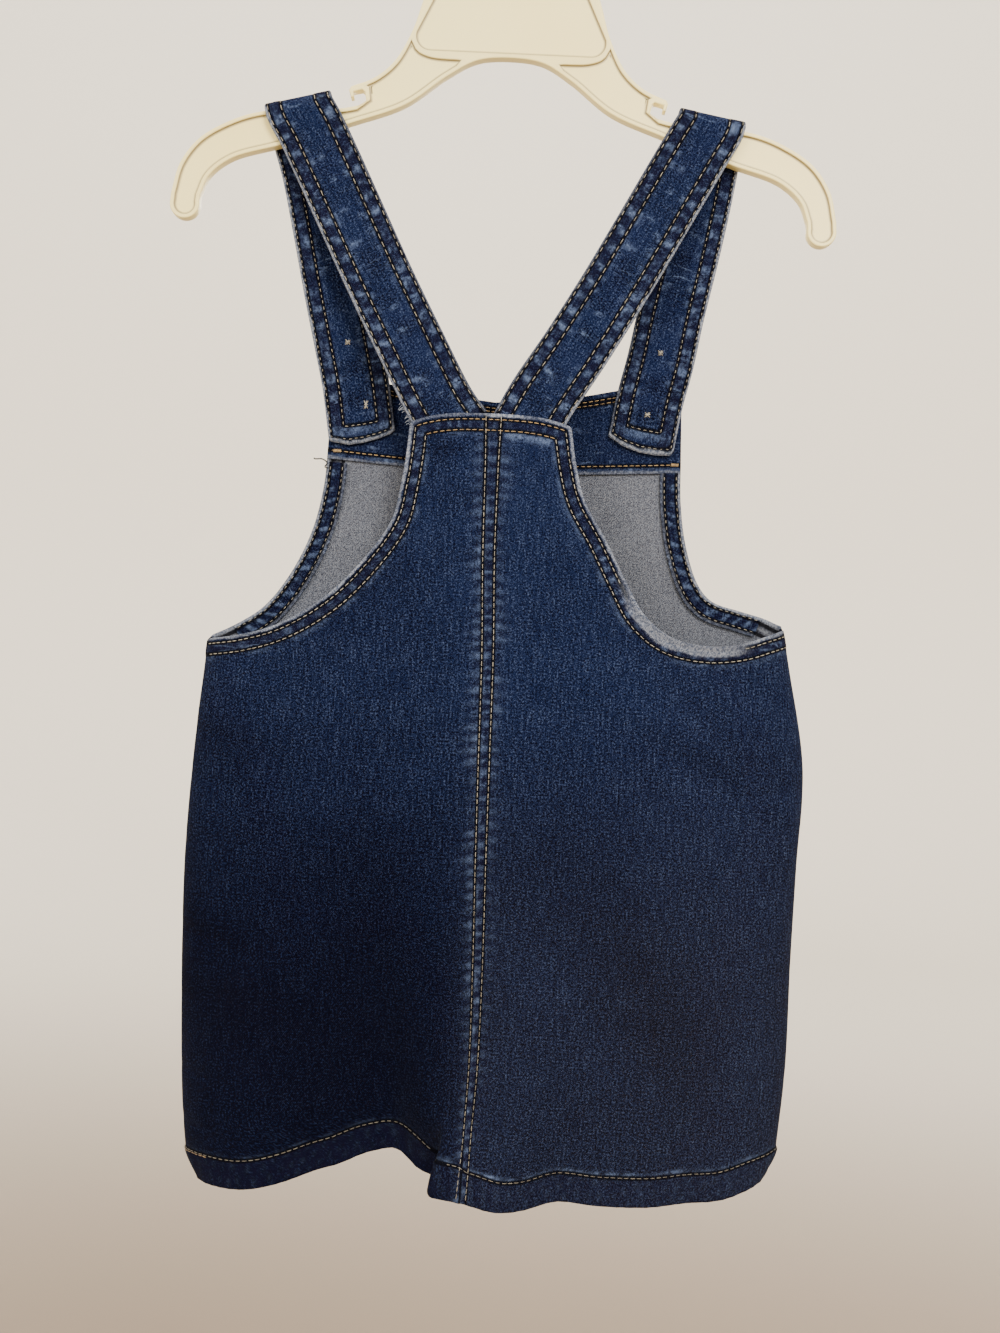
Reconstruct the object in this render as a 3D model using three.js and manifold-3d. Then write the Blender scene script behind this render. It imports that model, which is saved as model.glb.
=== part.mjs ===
// A child's denim pinafore dress hanging by its shoulder straps on a moulded plastic hanger.
// Millimetres. +Z is up, +Y is the way the dress's front faces, and +X is the wearer's right.
// The origin is the inside top of the hanger's hook, where a rail or a peg carries it.
import * as THREE from "three";
import { mergeVertices } from "three/addons/utils/BufferGeometryUtils.js";
import Module from "manifold-3d";

const wasm = await Module();
wasm.setup();

// Cloth and sewing sizes
const half = 0.7; // half of one layer of denim
const gap = 0.3; // between neighbouring pieces
const hemDepth = 12.5;
const hemRise = 0.7; // a folded hem stands this much prouder than one layer
const edgeBand = 8; // width of the turned edge at the top and round the armholes
const edgeRise = 0.4;
const edgeRamp = 3; // width over which that rise dies out
const edgeSamples = 60; // points along an armhole from which its distance is read
const seamBand = 3; // half width of the felled centre back seam
const seamRamp = 1.5;
const seamRise = 0.5;
const facingWall = 1.1;
const facingWidth = 9.6;
const facingEase = 0.6; // between a facing and the curved front
const strapHalf = 16.6; // half the strap's width
const strapFold = 7; // the strap's edges are folded in by this much
const strapThick = 1.3; // half its thickness there
const strapThin = 1; // half its thickness in the middle
const strapEase = 0.4; // more room where a strap lies on a curved panel
const strapTurns = 6; // stretches of its path over the hanger
const strapStep = 0.04; // share of the half width in which it thins towards its middle

// Hanger sizes
const rimThick = 5.6; // thickness over the moulded rim
const webThick = 3.2; // thickness of the sunk panels
const rimWidth = 2;
const hookInner = 19; // radius of the hook's inside
const hookBar = 6.4; // width of the hook's bar
const hookArc = { from: 195, to: -42, steps: 12 }; // degrees round it, from its open tip
const plaqueTop = -52;

// The body of the dress, a row for each height. left, right and seam are x. back and front are how
// far the cloth stands off the plane of the hanger, and square how flat each side's middle is.
const body = [
  { z: -250, left: -118, right: 124, seam: 0, back: 11.4, front: 10.2, square: 10 },
  { z: -276, left: -122, right: 128, seam: 0, back: 12.4, front: 10.6, square: 10 },
  { z: -300, left: -127, right: 133, seam: 0.1, back: 14, front: 11.2, square: 9 },
  { z: -345, left: -132.2, right: 139.4, seam: 0.6, back: 17.5, front: 13, square: 6 },
  { z: -390, left: -134.4, right: 148.8, seam: 2.2, back: 21, front: 15, square: 3.6 },
  { z: -440, left: -138.4, right: 158, seam: 2.8, back: 23.5, front: 16, square: 3 },
  { z: -490, left: -140.7, right: 157, seam: 3.4, back: 24.5, front: 16.5, square: 3 },
  { z: -535, left: -140.3, right: 156.2, seam: 4.2, back: 25.5, front: 17, square: 3 },
  { z: -585, left: -138.4, right: 156, seam: 4.4, back: 26.5, front: 17.5, square: 3 },
  { z: -620, left: -136, right: 153.6, seam: 3, back: 27.5, front: 18, square: 3 },
  { z: -652, left: -131.8, right: 150.6, seam: 2, back: 28.5, front: 18.5, square: 3 },
];
const sideEase = 9; // how late the cloth turns at the side seams
// How late a panel's rows turn up or down to its outer edge: at each top, and from a reach below
const rowCurve = { back: 3.2, front: 1, below: 1.6, reach: 0.2 };

// Outlines of the armholes from the top corner to the side seam
const backArmhole = {
  left: [
    { x: -39.6, z: -282 }, { x: -40.6, z: -297 }, { x: -42.6, z: -313 }, { x: -46, z: -329 },
    { x: -58, z: -348 }, { x: -76, z: -367.5 }, { x: -98, z: -381.5 }, { x: -117, z: -387.5 },
    { x: -133.4, z: -390 },
  ],
  right: [
    { x: 37, z: -281 }, { x: 40.6, z: -301 }, { x: 45, z: -316 }, { x: 55.5, z: -334 },
    { x: 66.5, z: -355 }, { x: 75, z: -369.5 }, { x: 88, z: -379.5 }, { x: 106, z: -383 },
    { x: 124, z: -381 }, { x: 136, z: -377 }, { x: 145.2, z: -373.8 },
  ],
};
const frontArmhole = {
  left: [
    { x: -81, z: -258 }, { x: -81.6, z: -291 }, { x: -83, z: -312 }, { x: -88, z: -334 },
    { x: -98, z: -356 }, { x: -110, z: -372.5 }, { x: -122, z: -381.5 }, { x: -133.4, z: -388 },
  ],
  right: [
    { x: 92, z: -258 }, { x: 93.2, z: -291 }, { x: 94.2, z: -312 }, { x: 98, z: -334 },
    { x: 105, z: -352.5 }, { x: 112, z: -360 }, { x: 126, z: -364.4 }, { x: 138, z: -368 },
    { x: 145.2, z: -371.8 },
  ],
};
const topEdge = { back: -276.4, front: -266.3 }; // at the centre line
const hemEdge = { back: -645, front: -635, left: -650, right: -638 };
// The buttons hold the bib's top edge up here, a row for each side
const bibPeaks = [
  { at: -66, width: 20, lift: 2 },
  { at: 68, width: 22, lift: 3.5 },
];
const peakLevel = 9; // the bib's corners stand this much above its middle
const peakReach = 40;

// Folds of the skirt, a row for each. at is x at the hem, lean how far x drifts for each millimetre
// up, push how far the cloth moves to +Y and reach how far up it runs.
const folds = {
  back: [
    { at: -108, lean: 0.05, width: 22, push: -3, reach: 120 },
    { at: -62, lean: -0.05, width: 22, push: 12, reach: 150 },
    { at: -33, lean: -0.1, width: 18, push: 19, reach: 165 },
    { at: 18, lean: 0.02, width: 13, push: -4, reach: 110 },
    { at: 44, lean: 0.04, width: 12, push: 3, reach: 70 },
    { at: 84, lean: 0.1, width: 26, push: -5, reach: 120 },
    { at: 124, lean: 0, width: 22, push: -2, reach: 70 },
  ],
  front: [
    { at: -78, lean: 0.08, width: 22, push: -5, reach: 130 },
    { at: -24, lean: -0.03, width: 20, push: 4, reach: 110 },
    { at: 34, lean: 0.06, width: 18, push: -5, reach: 140 },
    { at: 92, lean: -0.05, width: 24, push: 4, reach: 120 },
  ],
};
// How far the hem rises or sinks at places along it, which dies out within waveReach above it
const hemWaves = {
  back: [
    { at: -108, width: 22, lift: -1.4 }, { at: -80, width: 16, lift: 2 },
    { at: -63, width: 14, lift: 5.2 }, { at: -47, width: 11, lift: 8.4 },
    { at: -31, width: 12, lift: 11.6 }, { at: -8, width: 9, lift: 1.6 },
    { at: 18, width: 13, lift: -4.2 }, { at: 34, width: 12, lift: -3.7 },
    { at: 62, width: 18, lift: -2.2 }, { at: 92, width: 20, lift: -2.9 },
    { at: 124, width: 16, lift: -3.9 },
  ],
  front: [
    { at: -78, width: 22, lift: 1 }, { at: 34, width: 18, lift: 1 },
  ],
};
const waveReach = 80;
const seamHold = 6; // how late folds and waves die out towards the side seams
// The tuck left of the centre back seam, where the hem doubles over itself
const tuck = { at: -8.8, width: 5.5, step: 9, sharp: 1.6, spread: 4, overlap: 18, reach: 36 };

// Straps. Rows run from the back panel's top up to the hanger, then down to the strap's end in the
// bib. tilt is the slope of the strap's width in degrees, and twist its turn towards +Y.
const straps = {
  left: {
    rise: [
      { x: -17, z: -284, tilt: 30, twist: 0, on: "back" },
      { x: -25.5, z: -272.5, tilt: 28, twist: 0, on: "back" },
      { x: -43, z: -241, tilt: 28, twist: 3, y: -8.8 },
      { x: -58.5, z: -212, tilt: 27.5, twist: 4, y: -7.6 },
      { x: -72.4, z: -184.5, tilt: 27, twist: 2, y: -6.2 },
      { x: -86, z: -157.5, tilt: 26, twist: 0, y: -4.9 },
      { x: -95.2, z: -140, tilt: 22, twist: 0, y: -4.6 },
    ],
    fold: { x: -101.6, z: -129.4, tilt: 14.5, radius: 5.2 },
    fall: [
      { x: -99, z: -140, tilt: 14, twist: 0, y: 4.6 },
      { x: -93.4, z: -158, tilt: 13.5, twist: 4, y: 4.8 },
      { x: -86.8, z: -186, tilt: 13.5, twist: 8, y: 5.6 },
      { x: -80, z: -216, tilt: 14, twist: 8, y: 6 },
      { x: -74.4, z: -239, tilt: 14, twist: 4, y: 6.2 },
      { x: -69.4, z: -260, tilt: 14.2, twist: 0, on: "bib" },
      { x: -64.9, z: -287, tilt: 14.5, twist: 0, on: "bib" },
    ],
  },
  right: {
    rise: [
      { x: 14.5, z: -283, tilt: -30, twist: 0, on: "back" },
      { x: 22.6, z: -267, tilt: -32, twist: 0, on: "back" },
      { x: 37.6, z: -242.5, tilt: -30, twist: -3, y: -8.8 },
      { x: 53.6, z: -214.5, tilt: -29, twist: -4, y: -7.6 },
      { x: 67.6, z: -188.5, tilt: -28, twist: -2, y: -6.2 },
      { x: 82.6, z: -160, tilt: -26, twist: 0, y: -4.9 },
      { x: 93, z: -140.5, tilt: -20, twist: 0, y: -4.6 },
    ],
    fold: { x: 99.2, z: -129, tilt: -10, radius: 5.2 },
    fall: [
      { x: 98.8, z: -140, tilt: -10, twist: 0, y: 4.6 },
      { x: 96, z: -160, tilt: -10, twist: -4, y: 4.8 },
      { x: 90.8, z: -190, tilt: -11, twist: -10, y: 5.6 },
      { x: 84.8, z: -220, tilt: -12.5, twist: -10, y: 6 },
      { x: 80.8, z: -243, tilt: -12.5, twist: -4, y: 6.2 },
      { x: 76.6, z: -262, tilt: -11, twist: 0, on: "bib" },
      { x: 73, z: -284.5, tilt: -7, twist: 0, on: "bib" },
    ],
  },
};

// Sewn-on buttons, a row for each. The lower ones are through the bib's buttonholes.
const buttons = [
  { name: "button_left_upper", x: -74, z: -240, on: "strap" },
  { name: "button_left_lower", x: -66.4, z: -272, on: "bib" },
  { name: "button_right_upper", x: 81.4, z: -240, on: "strap" },
  { name: "button_right_lower", x: 75, z: -268.6, on: "bib" },
];
const buttonRadius = 7.5;
const buttonRim = 2.6;
const buttonDish = 1.7;
const buttonChamfer = { back: 0.6, side: 0.8, front: 0.7, rim: 1.9 };
const buttonHole = { radius: 0.9, offset: 1.7, length: 9 };

// Outline of the hanger's right half in four stretches, and of the sunk panels
const hangerTop = [
  { x: 33, z: plaqueTop }, { x: 37.5, z: -56.5 }, { x: 43.2, z: -72 }, { x: 48.3, z: -88.5 },
  { x: 56.5, z: -104 }, { x: 66, z: -112.5 }, { x: 77, z: -117.2 },
];
const hangerLip = [
  { x: 78, z: -119 }, { x: 76.9, z: -122.6 }, { x: 75.4, z: -122.3 }, { x: 75.8, z: -119.7 },
  { x: 71.6, z: -118.6 }, { x: 70.2, z: -119.6 }, { x: 69.4, z: -123.8 },
];
const hangerArmTop = [
  { x: 71.8, z: -126.1 }, { x: 82, z: -128.3 }, { x: 101, z: -129.7 }, { x: 119, z: -131.2 },
  { x: 134, z: -136 }, { x: 150, z: -145.8 }, { x: 159, z: -158.5 }, { x: 162.6, z: -173 },
];
const hangerTip = { x: 155.8, z: -178, radius: 7.2, from: 12, to: -190 };
const hangerArmUnder = [
  { x: 148.4, z: -173.6 }, { x: 144.5, z: -164 }, { x: 134, z: -155.2 }, { x: 110, z: -147.4 },
  { x: 76, z: -135.2 }, { x: 50, z: -125 }, { x: 30, z: -110 }, { x: 16, z: -102 },
];
const hangerSlot = [{ x: 70.2, z: -117.5 }, { x: 69.4, z: -123.8 }];
const archTop = { x: 0, z: -100.1 };
const armPanelEnd = 25;
const armPanelInner = [
  { x: 24, z: -102.2 }, { x: 39, z: -101.4 }, { x: 45.6, z: -98.6 }, { x: 48.6, z: -93.4 },
];
const plaquePanel = { top: -55.5, bottom: -98, topHalf: 33, bottomHalf: 46.4, corner: 7 };
const hookNeck = [
  { x: 9.6, z: -40.4 }, { x: 2.6, z: -43.6 }, { x: 0, z: -47.6 }, { x: 0, z: plaqueTop + gap },
];

// Numbers of steps along the panels
const leftColumns = [
  { from: 0, to: 0.03, count: 2 }, { from: 0.045, to: 0.165, count: 9 }, { from: 0.2, to: 1, count: 13 },
];
const rightColumns = [
  { from: 0, to: 0.03, count: 2 }, { from: 0.06, to: 0.9, count: 13 }, { from: 0.935, to: 1, count: 2 },
];
const frontColumns = [
  { from: 0, to: 0.9, count: 13 }, { from: 0.935, to: 1, count: 2 },
];
const hemShare = 1 - hemDepth / (topEdge.back - hemEdge.back);
const bandShare = edgeBand / (topEdge.back - hemEdge.back);
const stepShare = 0.003;
const panelRows = [
  { from: 0, to: bandShare, count: 1 }, { from: bandShare + stepShare, to: 0.36, count: 12 },
  { from: 0.4, to: 0.86, count: 6 }, { from: 0.9, to: hemShare - stepShare, count: 3 },
  { from: hemShare, to: 1, count: 2 },
];

// Small numeric helpers
const lerp = (a, b, t) => a + (b - a) * t;
const clamp = (v, low, high) => Math.min(high, Math.max(low, v));
const smooth = (t) => {
  const c = clamp(t, 0, 1);
  return c * c * (3 - 2 * c);
};
const bell = (d) => Math.exp(-d * d);
const radians = (angle) => (angle * Math.PI) / 180;
const tiny = 1e-6;
const halvings = 40; // rounds of a search that halves its range

// The values of a table of stretches, each cut into its number of steps.
function steps(stretches) {
  const values = [];
  for (const { from, to, count } of stretches) {
    for (let i = 0; i <= count; i++) values.push(lerp(from, to, i / count));
  }
  return values;
}

// A smooth reading of one column of a table whose rows run down in z.
function column(rows, key, z) {
  const last = rows.length - 1;
  const slope = (i) => {
    const a = rows[Math.max(0, i - 1)];
    const b = rows[Math.min(last, i + 1)];
    return (b[key] - a[key]) / (b.z - a.z);
  };
  if (z >= rows[0].z) return rows[0][key] + slope(0) * (z - rows[0].z);
  if (z <= rows[last].z) return rows[last][key] + slope(last) * (z - rows[last].z);
  const i = rows.findIndex((row, n) => n < last && z <= row.z && z >= rows[n + 1].z);
  const a = rows[i];
  const b = rows[i + 1];
  const span = b.z - a.z;
  const t = (z - a.z) / span;
  const t2 = t * t;
  const t3 = t2 * t;
  const ends = (2 * t3 - 3 * t2 + 1) * a[key] + (3 * t2 - 2 * t3) * b[key];
  return ends + span * ((t3 - 2 * t2 + t) * slope(i) + (t3 - t2) * slope(i + 1));
}

// The share of the half width that a share s of the cloth reaches: even at first, then it stops
// sideways and turns towards the other panel at the side seam.
const eased = (s) => ((sideEase + 1) * s - s ** (sideEase + 1)) / sideEase;
function uneased(share) {
  let low = 0;
  let high = 1;
  for (let i = 0; i < halvings; i++) {
    const middle = (low + high) / 2;
    if (eased(middle) < share) low = middle;
    else high = middle;
  }
  return (low + high) / 2;
}

const sideAt = (side, z) => column(body, side, z);

// A point of the back or the front, at the share s of the way from its centre to a side seam.
function drape(face, side, s, z) {
  const outward = face === "back" ? -1 : 1;
  const seam = column(body, "seam", z);
  const share = clamp(eased(s), 0, 1);
  const x = lerp(seam, sideAt(side, z), share);
  const crown = Math.sqrt(Math.max(0, 1 - share ** column(body, "square", z)));
  const p = new THREE.Vector3(x, outward * (column(body, face, z) * crown + gap / 2), z);
  const up = Math.max(0, z - hemEdge[face]);
  const hold = Math.sqrt(Math.max(0, 1 - share ** seamHold));
  for (const { at, lean, width, push, reach } of folds[face]) {
    p.y += push * bell((x - at - lean * up) / width) * hold * smooth(1 - up / reach);
  }
  for (const { at, width, lift } of hemWaves[face]) {
    p.z += lift * bell((x - at) / width) * hold * smooth(1 - up / waveReach);
  }
  if (face === "front") {
    const down = Math.max(0, topEdge.front + peakLevel - z);
    for (const peak of bibPeaks) {
      p.z += peak.lift * bell((x - peak.at) / peak.width) * smooth(1 - down / peakReach);
    }
  }
  if (face === "back") {
    const fade = smooth(1 - up / tuck.reach);
    const off = (x - tuck.at) / tuck.width;
    p.x -= tuck.overlap * off * bell(off) * fade;
    p.y -= tuck.step * Math.tanh(off * tuck.sharp) * bell(off / tuck.spread) * fade;
  }
  return p;
}

// The point of the back or the front over a place in the flat x, z plane.
function drapeOver(face, x, z) {
  const seam = column(body, "seam", z);
  const side = x < seam ? "left" : "right";
  const share = clamp((x - seam) / (sideAt(side, z) - seam), 0, 1);
  return drape(face, side, uneased(share), z);
}

function smoothCurve(rows) {
  const points = rows.map(({ x, z }) => new THREE.Vector3(x, 0, z));
  return new THREE.CatmullRomCurve3(points, false, "centripetal");
}

// Half of a panel: a runs from the centre line to the outer edge, which is the armhole and then the
// side seam, and b from the top to the hem.
function halfPanel(face, side, armhole) {
  const curve = smoothCurve(armhole);
  const under = armhole[armhole.length - 1].z;
  const sideHem = hemEdge[side];
  const armShare = curve.getLength() / (curve.getLength() + under - sideHem);
  const edge = (b) => {
    if (b >= armShare) {
      return { s: 1, z: lerp(under, sideHem, (b - armShare) / (1 - armShare)) };
    }
    const p = curve.getPointAt(b / armShare);
    const seam = column(body, "seam", p.z);
    const share = clamp((p.x - seam) / (sideAt(side, p.z) - seam), 0, 1);
    return { s: uneased(share), z: p.z };
  };
  const surface = (a, b) => {
    const outer = edge(b);
    const bend = lerp(rowCurve[face], rowCurve.below, smooth(b / rowCurve.reach));
    const z = lerp(lerp(topEdge[face], hemEdge[face], b), outer.z, a ** bend);
    return drape(face, side, outer.s * a, z);
  };
  return { surface, corner: armShare };
}

// The rows of a panel, with one more at each underarm corner.
const rowsAt = (...corners) => [...steps(panelRows), ...corners].sort((a, b) => a - b);

// A surface's point and its unit normal, by small steps in its two parameters.
function framed(surface, u, v) {
  const step = 1e-4;
  const across = surface(Math.min(1, u + step), v).sub(surface(Math.max(-1, u - step), v));
  const down = surface(u, Math.min(1, v + step)).sub(surface(u, Math.max(0, v - step)));
  return { point: surface(u, v), normal: across.cross(down).normalize() };
}

// A closed geometry from its corners and triangles, with its faces turned to point out.
function closed(positions, faces) {
  let volume = 0;
  const corner = (i) => new THREE.Vector3().fromArray(positions, i * 3);
  for (let i = 0; i < faces.length; i += 3) {
    volume += corner(faces[i]).dot(corner(faces[i + 1]).cross(corner(faces[i + 2])));
  }
  const turned = volume < 0 ? [...faces].reverse() : faces;
  const made = new THREE.BufferGeometry();
  made.setAttribute("position", new THREE.Float32BufferAttribute(positions, 3));
  made.setIndex(turned);
  made.computeVertexNormals();
  return made;
}

// A closed wall on a surface. front and rear are how far its two faces stand off the surface along
// the normal, as functions of the surface's parameters.
function wall(surface, us, vs, front, rear) {
  const positions = [];
  const faces = [];
  const nu = us.length;
  const nv = vs.length;
  for (const off of [front, rear]) {
    for (const v of vs) {
      for (const u of us) {
        const { point, normal } = framed(surface, u, v);
        point.addScaledVector(normal, off(u, v));
        positions.push(point.x, point.y, point.z);
      }
    }
  }
  const at = (layer, i, j) => layer * nu * nv + j * nu + i;
  const quad = (a, b, c, d) => faces.push(a, b, c, a, c, d);
  for (let j = 0; j < nv - 1; j++) {
    for (let i = 0; i < nu - 1; i++) {
      quad(at(0, i, j), at(0, i + 1, j), at(0, i + 1, j + 1), at(0, i, j + 1));
      quad(at(1, i, j), at(1, i, j + 1), at(1, i + 1, j + 1), at(1, i + 1, j));
    }
    quad(at(0, 0, j + 1), at(1, 0, j + 1), at(1, 0, j), at(0, 0, j));
    quad(at(0, nu - 1, j), at(1, nu - 1, j), at(1, nu - 1, j + 1), at(0, nu - 1, j + 1));
  }
  for (let i = 0; i < nu - 1; i++) {
    quad(at(0, i, 0), at(1, i, 0), at(1, i + 1, 0), at(0, i + 1, 0));
    quad(at(0, i + 1, nv - 1), at(1, i + 1, nv - 1), at(1, i, nv - 1), at(0, i, nv - 1));
  }
  return closed(positions, faces);
}

// How much prouder than one layer a panel is at (u, v): the hem, the turned edges and the seam.
function rise(face, armhole, surface) {
  const edge = smoothCurve(armhole).getSpacedPoints(edgeSamples);
  return (a, b) => {
    const p = surface(a, b);
    const apart = Math.min(...edge.map((e) => Math.hypot(e.x - p.x, e.z - p.z)));
    const turned = 1 - smooth((apart - edgeBand) / edgeRamp + 0.5);
    const top = b <= bandShare + tiny ? 1 : 0;
    const hem = b >= hemShare - tiny ? hemRise : 0;
    const off = Math.abs(p.x - column(body, "seam", p.z));
    const seam = face === "back" ? seamRise * (1 - smooth((off - seamBand) / seamRamp)) : 0;
    return Math.max(hem, edgeRise * Math.max(turned, top), seam);
  };
}

// Back panels, parted along the centre back seam
function backPanel(side) {
  const { surface, corner } = halfPanel("back", side, backArmhole[side]);
  const proud = rise("back", backArmhole[side], surface);
  const turn = side === "left" ? 1 : -1;
  const us = steps(side === "left" ? leftColumns : rightColumns);
  us[0] = gap / 2 / Math.abs(sideAt(side, topEdge.back));
  return wall(surface, us, rowsAt(corner), (u, v) => turn * (half + proud(u, v)), () => -turn * half);
}

// The front, bib and skirt in one piece: u runs from -1 at the left edge to 1 at the right
const frontLeft = halfPanel("front", "left", frontArmhole.left);
const frontRight = halfPanel("front", "right", frontArmhole.right);
const frontSurface = (u, v) => (u < 0 ? frontLeft.surface(-u, v) : frontRight.surface(u, v));
function frontUs() {
  const shares = steps(frontColumns);
  return [...shares.slice(1).map((u) => -u).reverse(), ...shares];
}
function frontPanel() {
  const left = rise("front", frontArmhole.left, frontSurface);
  const right = rise("front", frontArmhole.right, frontSurface);
  const proud = (u, v) => half + Math.max(left(u, v), right(u, v));
  const rows = rowsAt(frontLeft.corner, frontRight.corner);
  return wall(frontSurface, frontUs(), rows, proud, () => -half);
}

// The facing inside the bib, and those inside the front armholes below it
const bibFacingRows = [{ from: 0.003, to: 0.095, count: 2 }];
const armholeFacingRows = [{ from: 0.277, to: 0.93, count: 13 }];
const facingSetBack = 0.4; // of an armhole facing from the edge
function bibFacing() {
  const us = frontUs().filter((u, i) => i % 2 === 0);
  const near = -half - gap;
  return wall(frontSurface, us, steps(bibFacingRows), () => near, () => near - facingWall);
}
function armholeFacing(side) {
  const curve = smoothCurve(frontArmhole[side]);
  const inward = side === "left" ? 1 : -1;
  const surface = (u, v) => {
    const p = curve.getPointAt(v);
    const t = curve.getTangentAt(v);
    const reach = lerp(facingSetBack, facingWidth, u);
    return drapeOver("front", p.x - inward * t.z * reach, p.z + inward * t.x * reach);
  };
  const near = inward * (-half - facingEase);
  const far = near - inward * facingWall;
  return wall(surface, [0, 0.5, 1], steps(armholeFacingRows), () => near, () => far);
}

// The middle of a strap, with the direction of its width at each station.
function strapStations(strap) {
  const place = (row) => {
    let y = row.y;
    if (row.on === "back") y = drapeOver("back", row.x, row.z).y + half + gap + strapThick + strapEase;
    if (row.on === "bib") {
      const under = half + facingWall + 2 * gap + strapThick + strapEase;
      y = drapeOver("front", row.x, row.z).y - under;
    }
    const tilt = radians(row.tilt);
    const twist = radians(row.twist);
    const across = new THREE.Vector3(
      Math.cos(tilt) * Math.cos(twist),
      Math.sin(twist),
      Math.sin(tilt) * Math.cos(twist),
    );
    return { point: new THREE.Vector3(row.x, y, row.z), across };
  };
  const { fold } = strap;
  const tilt = radians(fold.tilt);
  const across = new THREE.Vector3(Math.cos(tilt), 0, Math.sin(tilt));
  const over = [];
  for (let i = 0; i <= strapTurns; i++) {
    const turn = (Math.PI * i) / strapTurns;
    const y = -Math.cos(turn) * fold.radius;
    const up = Math.sin(turn) * fold.radius;
    const point = new THREE.Vector3(
      fold.x - Math.sin(tilt) * up,
      y,
      fold.z + Math.cos(tilt) * up,
    );
    over.push({ point, across });
  }
  return [...strap.rise.map(place), ...over, ...strap.fall.map(place)];
}

// A strap's middle surface: u runs across it from -1 to 1, and v along it.
function strapSurface(strap) {
  const stations = strapStations(strap);
  const path = new THREE.CatmullRomCurve3(stations.map((s) => s.point), false, "centripetal");
  const widths = new THREE.CatmullRomCurve3(stations.map((s) => s.across));
  return (u, v) => {
    const t = clamp(v, 0, 1);
    const along = path.getTangent(t);
    const across = widths.getPoint(t);
    across.addScaledVector(along, -across.dot(along)).normalize();
    return path.getPoint(t).addScaledVector(across, u * strapHalf);
  };
}
function strapGeometry(strap) {
  const surface = strapSurface(strap);
  const foldShare = 1 - strapFold / strapHalf;
  const thinShare = foldShare - strapStep;
  const us = [-1, -foldShare, -thinShare, thinShare, foldShare, 1];
  const thick = (u) => (Math.abs(u) > thinShare + tiny ? strapThick : strapThin);
  const rises = strap.rise.length - 1;
  const total = strapStations(strap).length - 1;
  const foldEnd = (rises + strapTurns + 2) / total;
  const vs = steps([
    { from: 0, to: (rises - 0.5) / total, count: 9 },
    { from: rises / total, to: foldEnd, count: 13 },
    { from: foldEnd + 0.5 / total, to: 1, count: 9 },
  ]);
  return wall(surface, us, vs, (u) => thick(u), (u) => -thick(u));
}

// A solid for cutting from a closed geometry, and a geometry from such a solid
function solidOf(geometry) {
  const bare = geometry.clone();
  bare.deleteAttribute("normal");
  bare.deleteAttribute("uv");
  const merged = mergeVertices(bare, 1e-4);
  const vertProperties = new Float32Array(merged.attributes.position.array);
  const triVerts = new Uint32Array(merged.index.array);
  return new wasm.Manifold(new wasm.Mesh({ numProp: 3, vertProperties, triVerts }));
}
function geometryOf(solid) {
  const mesh = solid.getMesh();
  return closed(Array.from(mesh.vertProperties), Array.from(mesh.triVerts));
}

// A slab of the x, z plane, centred on y
function slab(outline, thickness, y = 0) {
  const shape = new THREE.Shape(outline.map(({ x, z }) => new THREE.Vector2(x, z)));
  const made = new THREE.ExtrudeGeometry(shape, { depth: thickness, bevelEnabled: false });
  made.rotateX(Math.PI / 2);
  made.translate(0, y + thickness / 2, 0);
  return made;
}
const mirrored = (rows) => rows.map(({ x, z }) => ({ x: -x, z })).reverse();

// Points of a smooth line through a stretch of the outline
function smoothed(rows, count) {
  const curve = smoothCurve(rows);
  return curve.getSpacedPoints(count).map(({ x, z }) => ({ x, z }));
}

// A line moved sideways by a distance, to the right of its direction in x, z
function inset(rows, distance) {
  return rows.map((row, i) => {
    const before = rows[Math.max(0, i - 1)];
    const after = rows[Math.min(rows.length - 1, i + 1)];
    const length = Math.hypot(after.x - before.x, after.z - before.z);
    const nx = (after.z - before.z) / length;
    const nz = -(after.x - before.x) / length;
    return { x: row.x + nx * distance, z: row.z + nz * distance };
  });
}

// Points of an arc between two angles in degrees
function arcPoints({ x, z, radius, from, to }, count) {
  const points = [];
  for (let i = 0; i <= count; i++) {
    const angle = radians(lerp(from, to, i / count));
    points.push({ x: x + Math.cos(angle) * radius, z: z + Math.sin(angle) * radius });
  }
  return points;
}

// The sunk face of the plaque: a trapezium with round corners
function plaqueOutline() {
  const { top, bottom, topHalf, bottomHalf, corner } = plaquePanel;
  const rightSide = [
    ...arcPoints({ x: topHalf - corner, z: top - corner, radius: corner, from: 90, to: 15 }, 3),
    ...arcPoints({ x: bottomHalf - corner, z: bottom + corner, radius: corner, from: 15, to: -90 }, 4),
  ];
  return [...rightSide, ...mirrored(rightSide)];
}

// The hanger: a plate with a rim along its edges and sunk panels on both faces
function hangerPlate() {
  const top = smoothed(hangerTop, 12);
  const tip = arcPoints(hangerTip, 7);
  const arm = [...smoothed(hangerArmTop, 13), ...tip, ...smoothed(hangerArmUnder, 18)];
  const rightHalf = [...top, ...hangerLip, ...arm];
  const outline = [...rightHalf, archTop, ...mirrored(rightHalf)];
  let solid = solidOf(slab(outline, rimThick));
  const armTop = inset(smoothed(hangerTop.slice(3), 6).slice(1, -2), rimWidth);
  const armRest = inset(arm, rimWidth).filter((row, i) => i > 0 && row.x > armPanelEnd);
  const armPanel = [...armTop, ...inset(hangerSlot, rimWidth), ...armRest, ...armPanelInner];
  const depth = (rimThick - webThick) / 2;
  const over = 1; // the cutters reach this far out of the face
  for (const panel of [armPanel, mirrored(armPanel), plaqueOutline()]) {
    for (const face of [-1, 1]) {
      const y = face * (rimThick / 2 - depth / 2 + over / 2);
      solid = solid.subtract(solidOf(slab(panel, depth + over, y)));
    }
  }
  return geometryOf(solid);
}

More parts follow.
